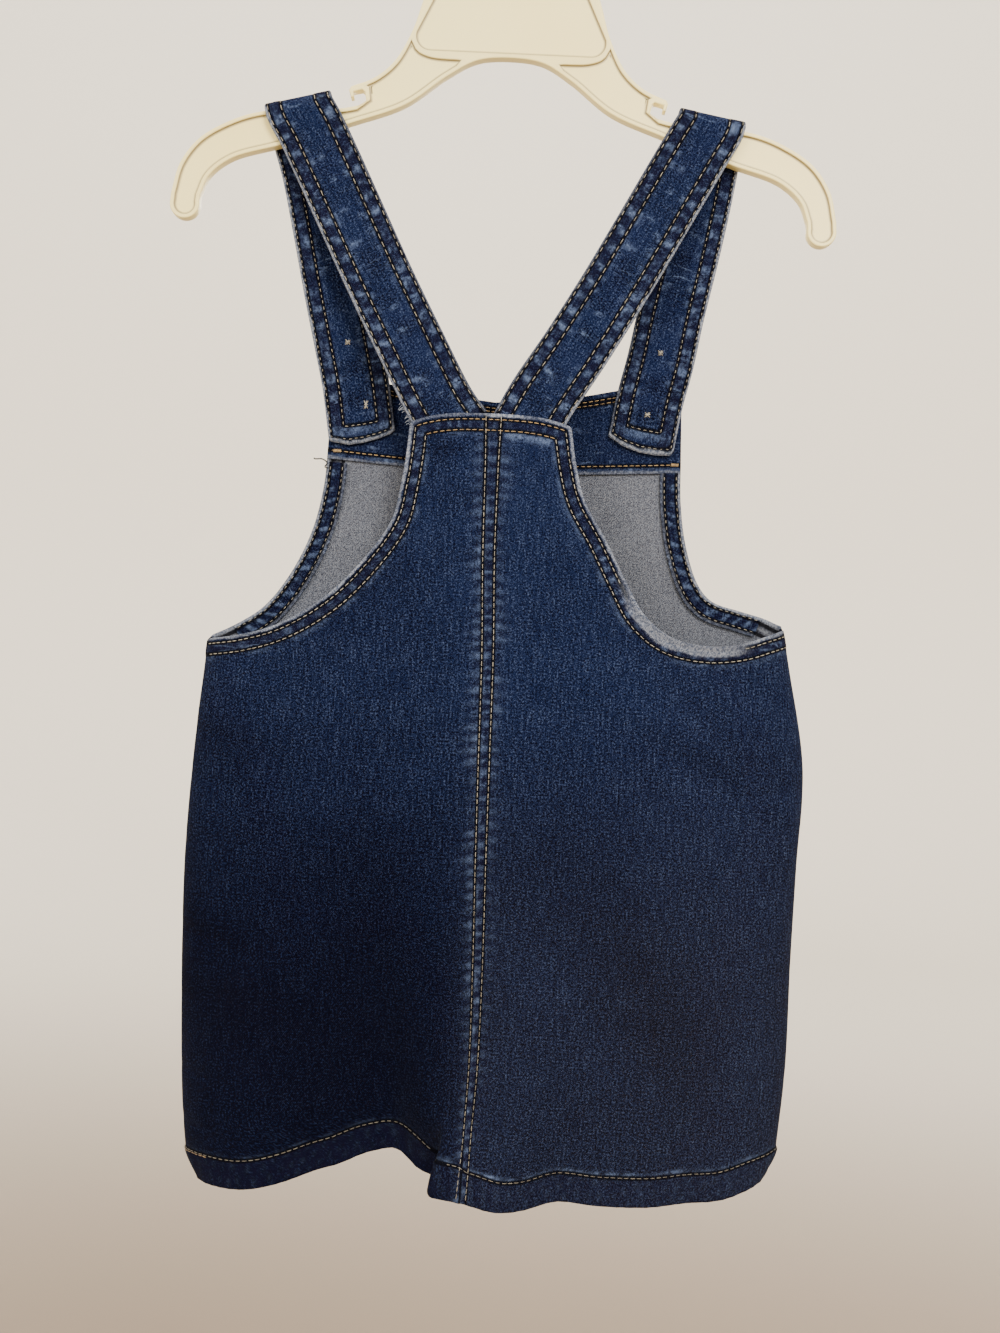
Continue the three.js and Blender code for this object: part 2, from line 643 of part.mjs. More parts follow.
// The hook: an arc from its open tip over the top, then a neck down to the plaque
function hookGeometry() {
  const radius = hookInner + hookBar / 2;
  const points = [];
  for (const { x, z } of arcPoints({ x: 0, z: -hookInner, radius, ...hookArc }, hookArc.steps)) {
    points.push(new THREE.Vector3(x, 0, z));
  }
  for (const { x, z } of hookNeck) points.push(new THREE.Vector3(x, 0, z));
  const path = new THREE.CatmullRomCurve3(points, false, "centripetal");
  const surface = (u, v) => {
    const p = path.getPoint(clamp(v, 0, 1));
    p.y += (u * rimThick) / 2;
    return p;
  };
  const vs = steps([{ from: 0, to: 1, count: 30 }]);
  return wall(surface, [-1, 1], vs, () => hookBar / 2, () => -hookBar / 2);
}

// A four-hole button, lying in the x, z plane with its back at y = 0
function buttonGeometry() {
  const { back, side, front, rim } = buttonChamfer;
  const outline = [
    [0, 0], [buttonRadius - back, 0], [buttonRadius, side], [buttonRadius, buttonRim - back],
    [buttonRadius - front, buttonRim], [buttonRadius - rim, buttonDish], [0, buttonDish],
  ];
  const turned = new THREE.LatheGeometry(outline.map(([r, y]) => new THREE.Vector2(r, y)), 20);
  let solid = solidOf(turned);
  for (const x of [-1, 1]) {
    for (const z of [-1, 1]) {
      const { radius, offset, length } = buttonHole;
      const hole = new THREE.CylinderGeometry(radius, radius, length, 8);
      hole.translate(x * offset, 0, z * offset);
      solid = solid.subtract(solidOf(hole));
    }
  }
  return geometryOf(solid);
}

// Where a button's back lies: on its strap's outer face, or on the bib.
function buttonMatrix({ x, z, on }) {
  const side = x < 0 ? "left" : "right";
  if (on === "bib") {
    const y = drapeOver("front", x, z).y + half + edgeRise + gap;
    return new THREE.Matrix4().makeTranslation(x, y, z);
  }
  const surface = strapSurface(straps[side]);
  let low = 0.7;
  let high = 1;
  for (let i = 0; i < halvings; i++) {
    const middle = (low + high) / 2;
    if (surface(0, middle).z > z) low = middle;
    else high = middle;
  }
  const { point, normal } = framed(surface, 0, low);
  if (normal.y < 0) normal.negate();
  const turn = new THREE.Quaternion().setFromUnitVectors(new THREE.Vector3(0, 1, 0), normal);
  point.addScaledVector(normal, strapThick + gap);
  return new THREE.Matrix4().compose(point, turn, new THREE.Vector3(1, 1, 1));
}

// Materials
const denimFace = new THREE.MeshStandardMaterial({ color: 0x1c2d4f, roughness: 0.9, metalness: 0 });
const denimDark = new THREE.MeshStandardMaterial({ color: 0x16233f, roughness: 0.9, metalness: 0 });
const plastic = new THREE.MeshStandardMaterial({ color: 0xefe6c8, roughness: 0.4, metalness: 0 });
const buttonFinish = new THREE.MeshStandardMaterial({ color: 0x23201c, roughness: 0.5, metalness: 0 });

const pinafore = new THREE.Group();
function add(name, geometry, material) {
  const mesh = new THREE.Mesh(geometry, material);
  mesh.name = name;
  pinafore.add(mesh);
  return mesh;
}

add("back_left", backPanel("left"), denimFace);
add("back_right", backPanel("right"), denimFace);
add("front", frontPanel(), denimFace);
add("bib_facing", bibFacing(), denimDark);
add("armhole_facing_left", armholeFacing("left"), denimDark);
add("armhole_facing_right", armholeFacing("right"), denimDark);
add("strap_left", strapGeometry(straps.left), denimFace);
add("strap_right", strapGeometry(straps.right), denimFace);
for (const button of buttons) {
  const mesh = add(button.name, buttonGeometry(), buttonFinish);
  mesh.applyMatrix4(buttonMatrix(button));
}
add("hanger", hangerPlate(), plastic);
add("hanger_hook", hookGeometry(), plastic);

export default pinafore;
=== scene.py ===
import math

import bmesh
import bpy
import numpy as np
from mathutils import Matrix, Vector
from mathutils.geometry import tessellate_polygon


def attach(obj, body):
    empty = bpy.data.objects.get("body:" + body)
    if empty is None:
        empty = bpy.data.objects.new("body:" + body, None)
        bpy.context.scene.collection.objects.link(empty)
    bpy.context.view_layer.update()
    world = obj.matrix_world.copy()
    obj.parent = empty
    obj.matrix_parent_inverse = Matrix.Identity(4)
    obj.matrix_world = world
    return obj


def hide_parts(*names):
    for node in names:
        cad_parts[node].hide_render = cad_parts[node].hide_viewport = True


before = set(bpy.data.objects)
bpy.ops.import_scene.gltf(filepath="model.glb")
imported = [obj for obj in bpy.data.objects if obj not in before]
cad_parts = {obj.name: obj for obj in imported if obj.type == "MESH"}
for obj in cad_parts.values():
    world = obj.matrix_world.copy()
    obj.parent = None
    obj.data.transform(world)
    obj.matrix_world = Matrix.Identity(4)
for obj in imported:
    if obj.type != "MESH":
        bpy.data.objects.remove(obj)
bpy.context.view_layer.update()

MM = 0.001
SIDES = ("left", "right")

# Sizes shared with the part's source, in millimetres
HALF = 0.7  # half of one layer of denim
GAP = 0.3
HEM_DEPTH = 12.5
HEM_RISE = 0.7
EDGE_RISE = 0.4
SEAM_RISE = 0.5
FACING_WALL = 1.1
FACING_WIDTH = 9.6
FACING_EASE = 0.6
FACING_SET_BACK = 0.4
STRAP_HALF = 16.6
STRAP_FOLD = 7
STRAP_THICK = 1.3
STRAP_THIN = 1
STRAP_EASE = 0.4
STRAP_TURNS = 6


def table(names, rows):
    """A table with named columns."""
    return {name: np.array([row[i] for row in rows], float) for i, name in enumerate(names)}


BODY = table(
    ("z", "left", "right", "seam", "back", "front", "square"),
    (
        (-250, -118, 124, 0, 11.4, 10.2, 10),
        (-276, -122, 128, 0, 12.4, 10.6, 10),
        (-300, -127, 133, 0.1, 14, 11.2, 9),
        (-345, -132.2, 139.4, 0.6, 17.5, 13, 6),
        (-390, -134.4, 148.8, 2.2, 21, 15, 3.6),
        (-440, -138.4, 158, 2.8, 23.5, 16, 3),
        (-490, -140.7, 157, 3.4, 24.5, 16.5, 3),
        (-535, -140.3, 156.2, 4.2, 25.5, 17, 3),
        (-585, -138.4, 156, 4.4, 26.5, 17.5, 3),
        (-620, -136, 153.6, 3, 27.5, 18, 3),
        (-652, -131.8, 150.6, 2, 28.5, 18.5, 3),
    ),
)
SIDE_EASE = 9
SEAM_HOLD = 6
ROW_CURVE = {"back": 3.2, "front": 1, "below": 1.6, "reach": 0.2}
ARMHOLES = {
    "back": {
        "left": (
            (-39.6, -282), (-40.6, -297), (-42.6, -313), (-46, -329), (-58, -348), (-76, -367.5),
            (-98, -381.5), (-117, -387.5), (-133.4, -390),
        ),
        "right": (
            (37, -281), (40.6, -301), (45, -316), (55.5, -334), (66.5, -355), (75, -369.5),
            (88, -379.5), (106, -383), (124, -381), (136, -377), (145.2, -373.8),
        ),
    },
    "front": {
        "left": (
            (-81, -258), (-81.6, -291), (-83, -312), (-88, -334), (-98, -356), (-110, -372.5),
            (-122, -381.5), (-133.4, -388),
        ),
        "right": (
            (92, -258), (93.2, -291), (94.2, -312), (98, -334), (105, -352.5), (112, -360),
            (126, -364.4), (138, -368), (145.2, -371.8),
        ),
    },
}
TOP = {"back": -276.4, "front": -266.3}
HEM = {"back": -645, "front": -635, "left": -650, "right": -638}
PEAKS = ((-66, 20, 2), (68, 22, 3.5))  # at, width, lift
PEAK_LEVEL = 9
PEAK_REACH = 40
FOLDS = {  # at, lean, width, push, reach
    "back": (
        (-108, 0.05, 22, -3, 120), (-62, -0.05, 22, 12, 150), (-33, -0.1, 18, 19, 165),
        (18, 0.02, 13, -4, 110), (44, 0.04, 12, 3, 70), (84, 0.1, 26, -5, 120),
        (124, 0, 22, -2, 70),
    ),
    "front": (
        (-78, 0.08, 22, -5, 130), (-24, -0.03, 20, 4, 110), (34, 0.06, 18, -5, 140),
        (92, -0.05, 24, 4, 120),
    ),
}
WAVES = {  # at, width, lift
    "back": (
        (-108, 22, -1.4), (-80, 16, 2), (-63, 14, 5.2), (-47, 11, 8.4), (-31, 12, 11.6),
        (-8, 9, 1.6), (18, 13, -4.2), (34, 12, -3.7), (62, 18, -2.2), (92, 20, -2.9),
        (124, 16, -3.9),
    ),
    "front": ((-78, 22, 1), (34, 18, 1)),
}
WAVE_REACH = 80
TUCK = {"at": -8.8, "width": 5.5, "step": 9, "sharp": 1.6, "spread": 4, "overlap": 18, "reach": 36}
STRAPS = {  # x, z, tilt, twist, then y or what it lies on
    "left": {
        "rise": (
            (-17, -284, 30, 0, "back"), (-25.5, -272.5, 28, 0, "back"), (-43, -241, 28, 3, -8.8),
            (-58.5, -212, 27.5, 4, -7.6), (-72.4, -184.5, 27, 2, -6.2), (-86, -157.5, 26, 0, -4.9),
            (-95.2, -140, 22, 0, -4.6),
        ),
        "fold": (-101.6, -129.4, 14.5, 5.2),
        "fall": (
            (-99, -140, 14, 0, 4.6), (-93.4, -158, 13.5, 4, 4.8), (-86.8, -186, 13.5, 8, 5.6),
            (-80, -216, 14, 8, 6), (-74.4, -239, 14, 4, 6.2), (-69.4, -260, 14.2, 0, "bib"),
            (-64.9, -287, 14.5, 0, "bib"),
        ),
    },
    "right": {
        "rise": (
            (14.5, -283, -30, 0, "back"), (22.6, -267, -32, 0, "back"), (37.6, -242.5, -30, -3, -8.8),
            (53.6, -214.5, -29, -4, -7.6), (67.6, -188.5, -28, -2, -6.2), (82.6, -160, -26, 0, -4.9),
            (93, -140.5, -20, 0, -4.6),
        ),
        "fold": (99.2, -129, -10, 5.2),
        "fall": (
            (98.8, -140, -10, 0, 4.6), (96, -160, -10, -4, 4.8), (90.8, -190, -11, -10, 5.6),
            (84.8, -220, -12.5, -10, 6), (80.8, -243, -12.5, -4, 6.2), (76.6, -262, -11, 0, "bib"),
            (73, -284.5, -7, 0, "bib"),
        ),
    },
}
STRAP_ENDS = {  # across the strap, how far its curved end reaches past its last row
    "left": ((-16.6, -1.2), (-15.8, -0.1), (-6.8, 2.7), (1.4, 2.4), (9.3, 1), (14.3, -0.3), (16.6, -2)),
    "right": ((-16.6, -1.2), (-8.5, 2.2), (0, 3.6), (8.3, 3.4), (15.4, 2.1), (16.6, -0.2)),
}
STRAP_END_ROWS = {"left": (2.4, 7.6), "right": (2.7, 8.8)}
STRAP_END_EASE = 14

# Sewing sizes
EDGE_ROWS = (2.5, 7.7)  # stitch rows round the armholes and the back's top
EDGE_BAND = (2.8, 7.9)  # the roped band between them
EDGE_TURN = 9.2  # the turned edge's width
EDGE_PITCH = 6.4  # of the roping round the edges and the hem
PUCKER_PITCH = 6.3  # of the teeth beside the centre seam
BAR_PITCH = 5.9  # of the bars between its two rows
SEAM_BAND = 4.2  # half the felled seam's width
SEAM_ROW = 2.85  # from the centre seam's middle to each row, before it narrows
SEAM_WIDTHS = ((-640, 1.5), (-600, 1.9), (-540, 2.3), (-440, 2.6), (-340, 2.8), (-300, 3.1), (-276, 3.7))
STRAP_ROWS = (1.7, 8.2)
STRAP_BAND = (1.9, 8)
STRAP_PITCHES = (9.4, 5.7, 8.1)  # of the broad marks, the small ones and those inside the rows
HEM_ROW = 12.9
SEWN_TO = 0.985  # the share of a panel's half width that a row across it reaches
CORNER_TAPER = {"depth": 5, "height": 12}  # how the hem's corners draw in
ROLL = {"from": 60, "to": 130, "wide": 4.8, "proud": 2.2}  # the right armhole's edge curls outwards
FAR = 60.0  # an edge field's value where there is no such edge
UV_SCALE = 0.01  # from millimetres to the weave's units
STITCHES = {  # pitch, length, width
    "top": (3.1, 2.3, 0.42), "overlap": (2.7, 2.3, 0.42), "armhole": (3.1, 2.2, 0.38),
    "seam": (3.1, 2.4, 0.34), "hem": (3.1, 2.3, 0.36), "strap": (4.2, 2.9, 0.4),
    "strap_under": (3.0, 1.6, 0.38), "bib_facing": (3.0, 2.2, 0.42), "armhole_facing": (3.0, 1.6, 0.36),
}
STITCH_SUNK = 0.16  # how deep a strap's rows are drawn in


# Camera
CAMERA = {"place": (0.0084, -0.650, -0.397), "lens": 35.82, "sensor": 36, "turned_by": 2.6}


def put(name, data):
    """A new object in the scene."""
    thing = bpy.data.objects.new(name, data)
    bpy.context.scene.collection.objects.link(thing)
    return thing


def make_camera():
    data = bpy.data.cameras.new("camera")
    data.sensor_width = CAMERA["sensor"]
    data.lens = CAMERA["lens"]
    data.clip_start = 0.01
    data.clip_end = 50
    camera = put("camera", data)
    level = Matrix.Rotation(math.radians(90), 4, "X")
    turn = Matrix.Rotation(math.radians(CAMERA["turned_by"]), 4, "Z")
    camera.matrix_world = Matrix.Translation(CAMERA["place"]) @ level @ turn
    bpy.context.scene.camera = camera


# Numeric helpers
def smooth(t):
    c = np.clip(t, 0, 1)
    return c * c * (3 - 2 * c)


def bell(d):
    return np.exp(-d * d)


def within(value, low, high, soft):
    """Whether a value lies between two limits, from 0 to 1, with soft ends."""
    return smooth((value - low) / soft) * smooth((high - value) / soft)


def unit(v):
    return v / np.maximum(np.linalg.norm(v, axis=-1, keepdims=True), 1e-9)


def noise(x, seed, y=0.0):
    """Smooth noise from 0 to 1 over one or two coordinates, the same each run."""
    size = 512
    lattice = np.random.default_rng(seed).random((size, size))
    x, y = np.broadcast_arrays(np.asarray(x, float), np.asarray(y, float))
    i, j = np.floor(x).astype(int), np.floor(y).astype(int)
    fx, fy = smooth(x - i), smooth(y - j)
    at = lambda a, b: lattice[(i + a) % size, (j + b) % size]
    low = at(0, 0) * (1 - fx) + at(1, 0) * fx
    high = at(0, 1) * (1 - fx) + at(1, 1) * fx
    return low * (1 - fy) + high * fy


def turned(x, z, degrees):
    """Offsets in x and z, read along and across a direction."""
    c, s = math.cos(math.radians(degrees)), math.sin(math.radians(degrees))
    return x * c + z * s, z * c - x * s


def reach_of(points):
    """How far along a line of points each of them is."""
    return np.concatenate([[0], np.cumsum(np.linalg.norm(np.diff(points, axis=0), axis=1))])


def read(points, reach, where):
    return np.stack([np.interp(where, reach, c) for c in points.T], -1)


class Line:
    """A centripetal Catmull-Rom line through points."""

    def __init__(self, points, fine=40):
        p = np.asarray(points, float)
        rows = np.vstack([2 * p[0] - p[1], p, 2 * p[-1] - p[-2]])
        t = np.linspace(0, 1, fine, endpoint=False)[:, None]
        parts = []
        for i in range(len(p) - 1):
            p0, p1, p2, p3 = rows[i : i + 4]
            pairs = ((p0, p1), (p1, p2), (p2, p3))
            d0, d1, d2 = (max(np.linalg.norm(b - a) ** 0.5, 1e-4) for a, b in pairs)
            m1 = ((p1 - p0) / d0 - (p2 - p0) / (d0 + d1) + (p2 - p1) / d1) * d1
            m2 = ((p2 - p1) / d1 - (p3 - p1) / (d1 + d2) + (p3 - p2) / d2) * d1
            c2, c3 = 3 * (p2 - p1) - 2 * m1 - m2, 2 * (p1 - p2) + m1 + m2
            parts.append(p1 + t * m1 + t**2 * c2 + t**3 * c3)
        self.points = np.vstack([*parts, p[-1:]])
        self.reach = reach_of(self.points)
        self.length = self.reach[-1]

    def by_length(self, share):
        return read(self.points, self.reach, np.asarray(share) * self.length)

    def by_row(self, share):
        return read(self.points, np.linspace(0, 1, len(self.points)), np.asarray(share))


# The draped cloth, worked out as in the part's source
def column(key, z):
    rows, values = BODY["z"], BODY[key]
    slopes = np.empty_like(values)
    slopes[1:-1] = (values[2:] - values[:-2]) / (rows[2:] - rows[:-2])
    slopes[0] = (values[1] - values[0]) / (rows[1] - rows[0])
    slopes[-1] = (values[-1] - values[-2]) / (rows[-1] - rows[-2])
    inside = np.clip(z, rows[-1], rows[0])
    i = np.clip(np.searchsorted(-rows, -inside, side="right") - 1, 0, len(rows) - 2)
    span = rows[i + 1] - rows[i]
    t = (inside - rows[i]) / span
    ends = (2 * t**3 - 3 * t**2 + 1) * values[i] + (3 * t**2 - 2 * t**3) * values[i + 1]
    turns = (t**3 - 2 * t**2 + t) * slopes[i] + (t**3 - t**2) * slopes[i + 1]
    beyond = z - inside
    return ends + span * turns + np.where(beyond > 0, slopes[0], slopes[-1]) * beyond


def eased(s):
    return ((SIDE_EASE + 1) * s - s ** (SIDE_EASE + 1)) / SIDE_EASE


def uneased(share):
    low, high = np.zeros_like(share), np.ones_like(share)
    for _ in range(40):
        middle = (low + high) / 2
        less = eased(middle) < share
        low, high = np.where(less, middle, low), np.where(less, high, middle)
    return (low + high) / 2


def drape(face, side_x, s, z):
    outward = -1 if face == "back" else 1
    seam = column("seam", z)
    share = np.clip(eased(s), 0, 1)
    x = seam + (side_x - seam) * share
    crown = np.sqrt(np.maximum(0, 1 - share ** column("square", z)))
    y = outward * (column(face, z) * crown + GAP / 2)
    up = np.maximum(0, z - HEM[face])
    hold = np.sqrt(np.maximum(0, 1 - share**SEAM_HOLD))
    lift = np.zeros_like(x)
    for at, lean, width, push, reach in FOLDS[face]:
        y = y + push * bell((x - at - lean * up) / width) * hold * smooth(1 - up / reach)
    for at, width, rise in WAVES[face]:
        lift = lift + rise * bell((x - at) / width) * hold * smooth(1 - up / WAVE_REACH)
    if face == "front":
        down = np.maximum(0, TOP["front"] + PEAK_LEVEL - z)
        for at, width, rise in PEAKS:
            lift = lift + rise * bell((x - at) / width) * smooth(1 - down / PEAK_REACH)
        return np.stack([x, y, z + lift], -1)
    fade = smooth(1 - up / TUCK["reach"])
    off = (x - TUCK["at"]) / TUCK["width"]
    y = y - TUCK["step"] * np.tanh(off * TUCK["sharp"]) * bell(off / TUCK["spread"]) * fade
    return np.stack([x - TUCK["overlap"] * off * bell(off) * fade, y, z + lift], -1)


def drape_over(face, x, z):
    x, z = np.asarray(x, float), np.asarray(z, float)
    seam = column("seam", z)
    side_x = np.where(x < seam, column("left", z), column("right", z))
    share = np.clip((x - seam) / (side_x - seam), 0, 1)
    return drape(face, side_x, uneased(share), z)


class HalfPanel:
    """Half of a panel: a runs from its centre line to its outer edge, b from its top to its hem."""

    def __init__(self, face, side):
        self.face, self.side = face, side
        self.curve = Line(ARMHOLES[face][side])
        self.under = ARMHOLES[face][side][-1][1]
        self.corner = self.curve.length / (self.curve.length + self.under - HEM[side])

    def __call__(self, a, b):
        a, b = np.broadcast_arrays(np.asarray(a, float), np.asarray(b, float))
        on = self.curve.by_length(np.clip(b / self.corner, 0, 1))
        seam = column("seam", on[..., 1])
        share = np.clip((on[..., 0] - seam) / (column(self.side, on[..., 1]) - seam), 0, 1)
        below = b >= self.corner
        fall = (b - self.corner) / (1 - self.corner)
        outer_s = np.where(below, 1, uneased(share))
        outer_z = np.where(below, self.under + (HEM[self.side] - self.under) * fall, on[..., 1])
        bend = ROW_CURVE[self.face]
        bend = bend + (ROW_CURVE["below"] - bend) * smooth(b / ROW_CURVE["reach"])
        middle = TOP[self.face] + (HEM[self.face] - TOP[self.face]) * b
        z = middle + (outer_z - middle) * a**bend
        return drape(self.face, column(self.side, z), outer_s * a, z)


class Panel:
    """A whole back or front: u runs from -1 at its left edge to 1 at its right."""

    def __init__(self, face):
        self.face = face
        self.outward = -1 if face == "back" else 1
        self.left, self.right = HalfPanel(face, "left"), HalfPanel(face, "right")

    def __call__(self, u, b):
        u, b = np.broadcast_arrays(np.asarray(u, float), np.asarray(b, float))
        left = self.left(np.maximum(-u, 0), b)
        return np.where((u < 0)[..., None], left, self.right(np.maximum(u, 0), b))

    def hem_line(self, b=1.0):
        return self(np.linspace(-1, 1, 700), b)

    def top_line(self):
        return self(np.linspace(-1, 1, 300), 0.0)

    def side_line(self, side):
        half = getattr(self, side)
        return half(1.0, np.linspace(0, half.corner, 400))


def nearest(points, line):
    """How far each point is from a line of points in x and z, and how far along it that is."""
    flat, marks = points.reshape(-1, 3)[:, (0, 2)], line[:, (0, 2)]
    reach = reach_of(line)
    apart, along = np.empty(len(flat)), np.empty(len(flat))
    batch = 4000
    for start in range(0, len(flat), batch):
        some = slice(start, start + batch)
        d = np.hypot(*(flat[some, None] - marks[None]).transpose(2, 0, 1))
        best = d.argmin(axis=1)
        apart[some] = d.min(axis=1)
        along[some] = reach[best]
    shape = points.shape[:-1]
    return apart.reshape(shape), along.reshape(shape)


def grid_normals(points):
    return unit(np.cross(np.gradient(points, axis=1), np.gradient(points, axis=0)))


# Meshes
def place(name, mesh, materials, replaced=()):
    thing = put(name, mesh)
    for material in materials:
        mesh.materials.append(material)
    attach(thing, "root")
    if replaced:
        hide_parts(*replaced)
    return thing


def mesh_of(name, vertices, faces, fields=None, slots=None, uv=None):
    """A smooth mesh in metres from vertices in millimetres, with a number for each in each field."""
    mesh = bpy.data.meshes.new(name)
    mesh.vertices.add(len(vertices))
    mesh.vertices.foreach_set("co", (np.asarray(vertices) * MM).astype(np.float32).ravel())
    sizes = np.array([len(f) for f in faces])
    corners = np.concatenate([np.asarray(f) for f in faces])
    mesh.loops.add(len(corners))
    mesh.loops.foreach_set("vertex_index", corners.astype(np.int32))
    mesh.polygons.add(len(sizes))
    mesh.polygons.foreach_set("loop_start", (np.cumsum(sizes) - sizes).astype(np.int32))
    mesh.polygons.foreach_set("loop_total", sizes.astype(np.int32))
    mesh.polygons.foreach_set("use_smooth", np.ones(len(sizes), bool))
    if slots is not None:
        mesh.polygons.foreach_set("material_index", slots.astype(np.int32))
    mesh.update(calc_edges=True)
    for key, values in (fields or {}).items():
        layer = mesh.attributes.new(key, "FLOAT", "POINT")
        layer.data.foreach_set("value", values.astype(np.float32).ravel())
    if uv is not None:
        layer = mesh.uv_layers.new(name="UVMap")
        layer.data.foreach_set("uv", uv[corners].astype(np.float32).ravel())
    mesh.validate()
    return mesh


def shell(name, points, outward, front, rear, fields, uv):
    """A thin sheet with a rounded rim. front and rear are how far its two faces stand off points
    outwards. The faces are in slot 0 outside and round the rim, and in slot 1 inside."""
    steps, bulge = 4, 0.7
    grid = points.shape[:2]
    count = grid[0] * grid[1]
    index = np.arange(count).reshape(grid)
    ring = np.concatenate([index[0, :-1], index[:-1, -1], index[-1, :0:-1], index[:0:-1, 0]])
    inner = np.concatenate([index[1, :-1], index[:-1, -2], index[-2, :0:-1], index[:0:-1, 1]])
    flat = points.reshape(-1, 3)
    normal = (grid_normals(points) * outward).reshape(-1, 3)
    high, low = (np.broadcast_to(stand, grid).reshape(-1, 1) for stand in (front, rear))
    vertices = [flat + normal * high, flat + normal * low]
    up = normal[ring]
    out = unit(flat[ring] - flat[inner])
    out = unit(out - up * (out * up).sum(1, keepdims=True))
    size = (high - low)[ring] / 2
    middle = flat[ring] + up * ((high + low)[ring] / 2)
    rings = [ring]
    for j in range(1, steps):
        turn = math.pi * j / steps
        vertices.append(middle + size * (up * math.cos(turn) + out * bulge * math.sin(turn)))
        rings.append(2 * count + (j - 1) * len(ring) + np.arange(len(ring)))
    rings.append(ring + count)
    outer = np.stack([index[:-1, :-1], index[:-1, 1:], index[1:, 1:], index[1:, :-1]], -1).reshape(-1, 4)
    rim = [np.stack([a, b, np.roll(b, -1), np.roll(a, -1)], -1) for a, b in zip(rings, rings[1:])]
    faces = np.vstack([outer, outer[:, ::-1] + count, *rim])
    if outward < 0:
        faces = faces[:, ::-1]
    slots = np.arange(len(faces)) // len(outer) == 1
    whole = lambda values: np.concatenate([values, values] + [values[ring]] * (steps - 1))
    fields = {key: whole(values.reshape(-1)) for key, values in fields.items()}
    return mesh_of(name, np.vstack(vertices), faces, fields, slots, whole(uv.reshape(-1, 2)))


def tube_faces(rows, columns):
    """The quads between a tube's rings, and a face over each end."""
    index = np.arange(rows * columns).reshape(rows, columns)
    one, two = index[:-1], index[1:]
    quads = np.stack([one, np.roll(one, -1, 1), np.roll(two, -1, 1), two], -1).reshape(-1, 4)
    return [*quads, index[0][::-1], index[-1]]


STITCH = np.array(  # along its half length, share of its width, rise in half widths
    [(-1, 0.35, -0.5), (-0.75, 0.85, 0.05), (0, 1, 0.4), (0.75, 0.85, 0.05), (1, 0.35, -0.5)]
)
STITCH_SIDES = 6
STITCH_FLAT = 0.75
STITCH_DRIFT = 0.06
STITCH_SWAY = 0.1
LOW_SHADE = {"amount": 0.7, "from": -420, "reach": 150}  # painted shade: threads darken towards the hem


def stitch_mesh(name, rows):
    """Stitches along rows of points. A row is (points, normals, pitch, length, width)."""
    stations, girth, arch = STITCH.T
    around = np.arange(STITCH_SIDES) * 2 * math.pi / STITCH_SIDES
    cos, sin = np.cos(around)[None, :, None], STITCH_FLAT * np.sin(around)[None, :, None]
    size = len(stations) * STITCH_SIDES
    pattern = tube_faces(len(stations), STITCH_SIDES)
    rng = np.random.default_rng(len(rows) + len(name))
    vertices, faces, shades = [], [], []
    for points, normals, pitch, length, width in rows:
        reach = reach_of(points)
        count = int(reach[-1] // pitch)
        at = (np.arange(count) + 0.5) * reach[-1] / max(count, 1)
        for spot in at + rng.uniform(-STITCH_DRIFT, STITCH_DRIFT, count) * pitch:
            where = spot + stations * length / 2
            centre, up = read(points, reach, where), unit(read(normals, reach, where))
            across = unit(np.cross(up, unit(centre[-1] - centre[0])))
            sway = rng.uniform(-STITCH_SWAY, STITCH_SWAY)
            centre = centre + up * (arch * width / 2)[:, None] + across * (sway * stations * width)[:, None]
            round_it = cos * across[:, None] + sin * up[:, None]
            faces += [face + len(vertices) * size for face in pattern]
            vertices.append((centre[:, None] + girth[:, None, None] * width / 2 * round_it).reshape(-1, 3))
            # Each stitch's random tone, plus painted shade low down
            dim = LOW_SHADE["amount"] * smooth((LOW_SHADE["from"] - centre[0, 2]) / LOW_SHADE["reach"])
            shades.append(np.full(size, rng.uniform() + dim))
    return mesh_of(name, np.vstack(vertices), faces, {"shade": np.concatenate(shades)})


def sew(name, rows, material):
    return place(name, stitch_mesh(name, rows), (material,))


# Material graphs
class Value:
    """A node's output, written as a term of a sum."""

    def __init__(self, graph, socket):
        self.graph, self.socket = graph, socket

    def __add__(self, other):
        return self.graph.math("ADD", self, other)

    def __sub__(self, other):
        return self.graph.math("SUBTRACT", self, other)

    def __mul__(self, other):
        return self.graph.math("MULTIPLY", self, other)

    def __abs__(self):
        return self.graph.math("ABSOLUTE", self)


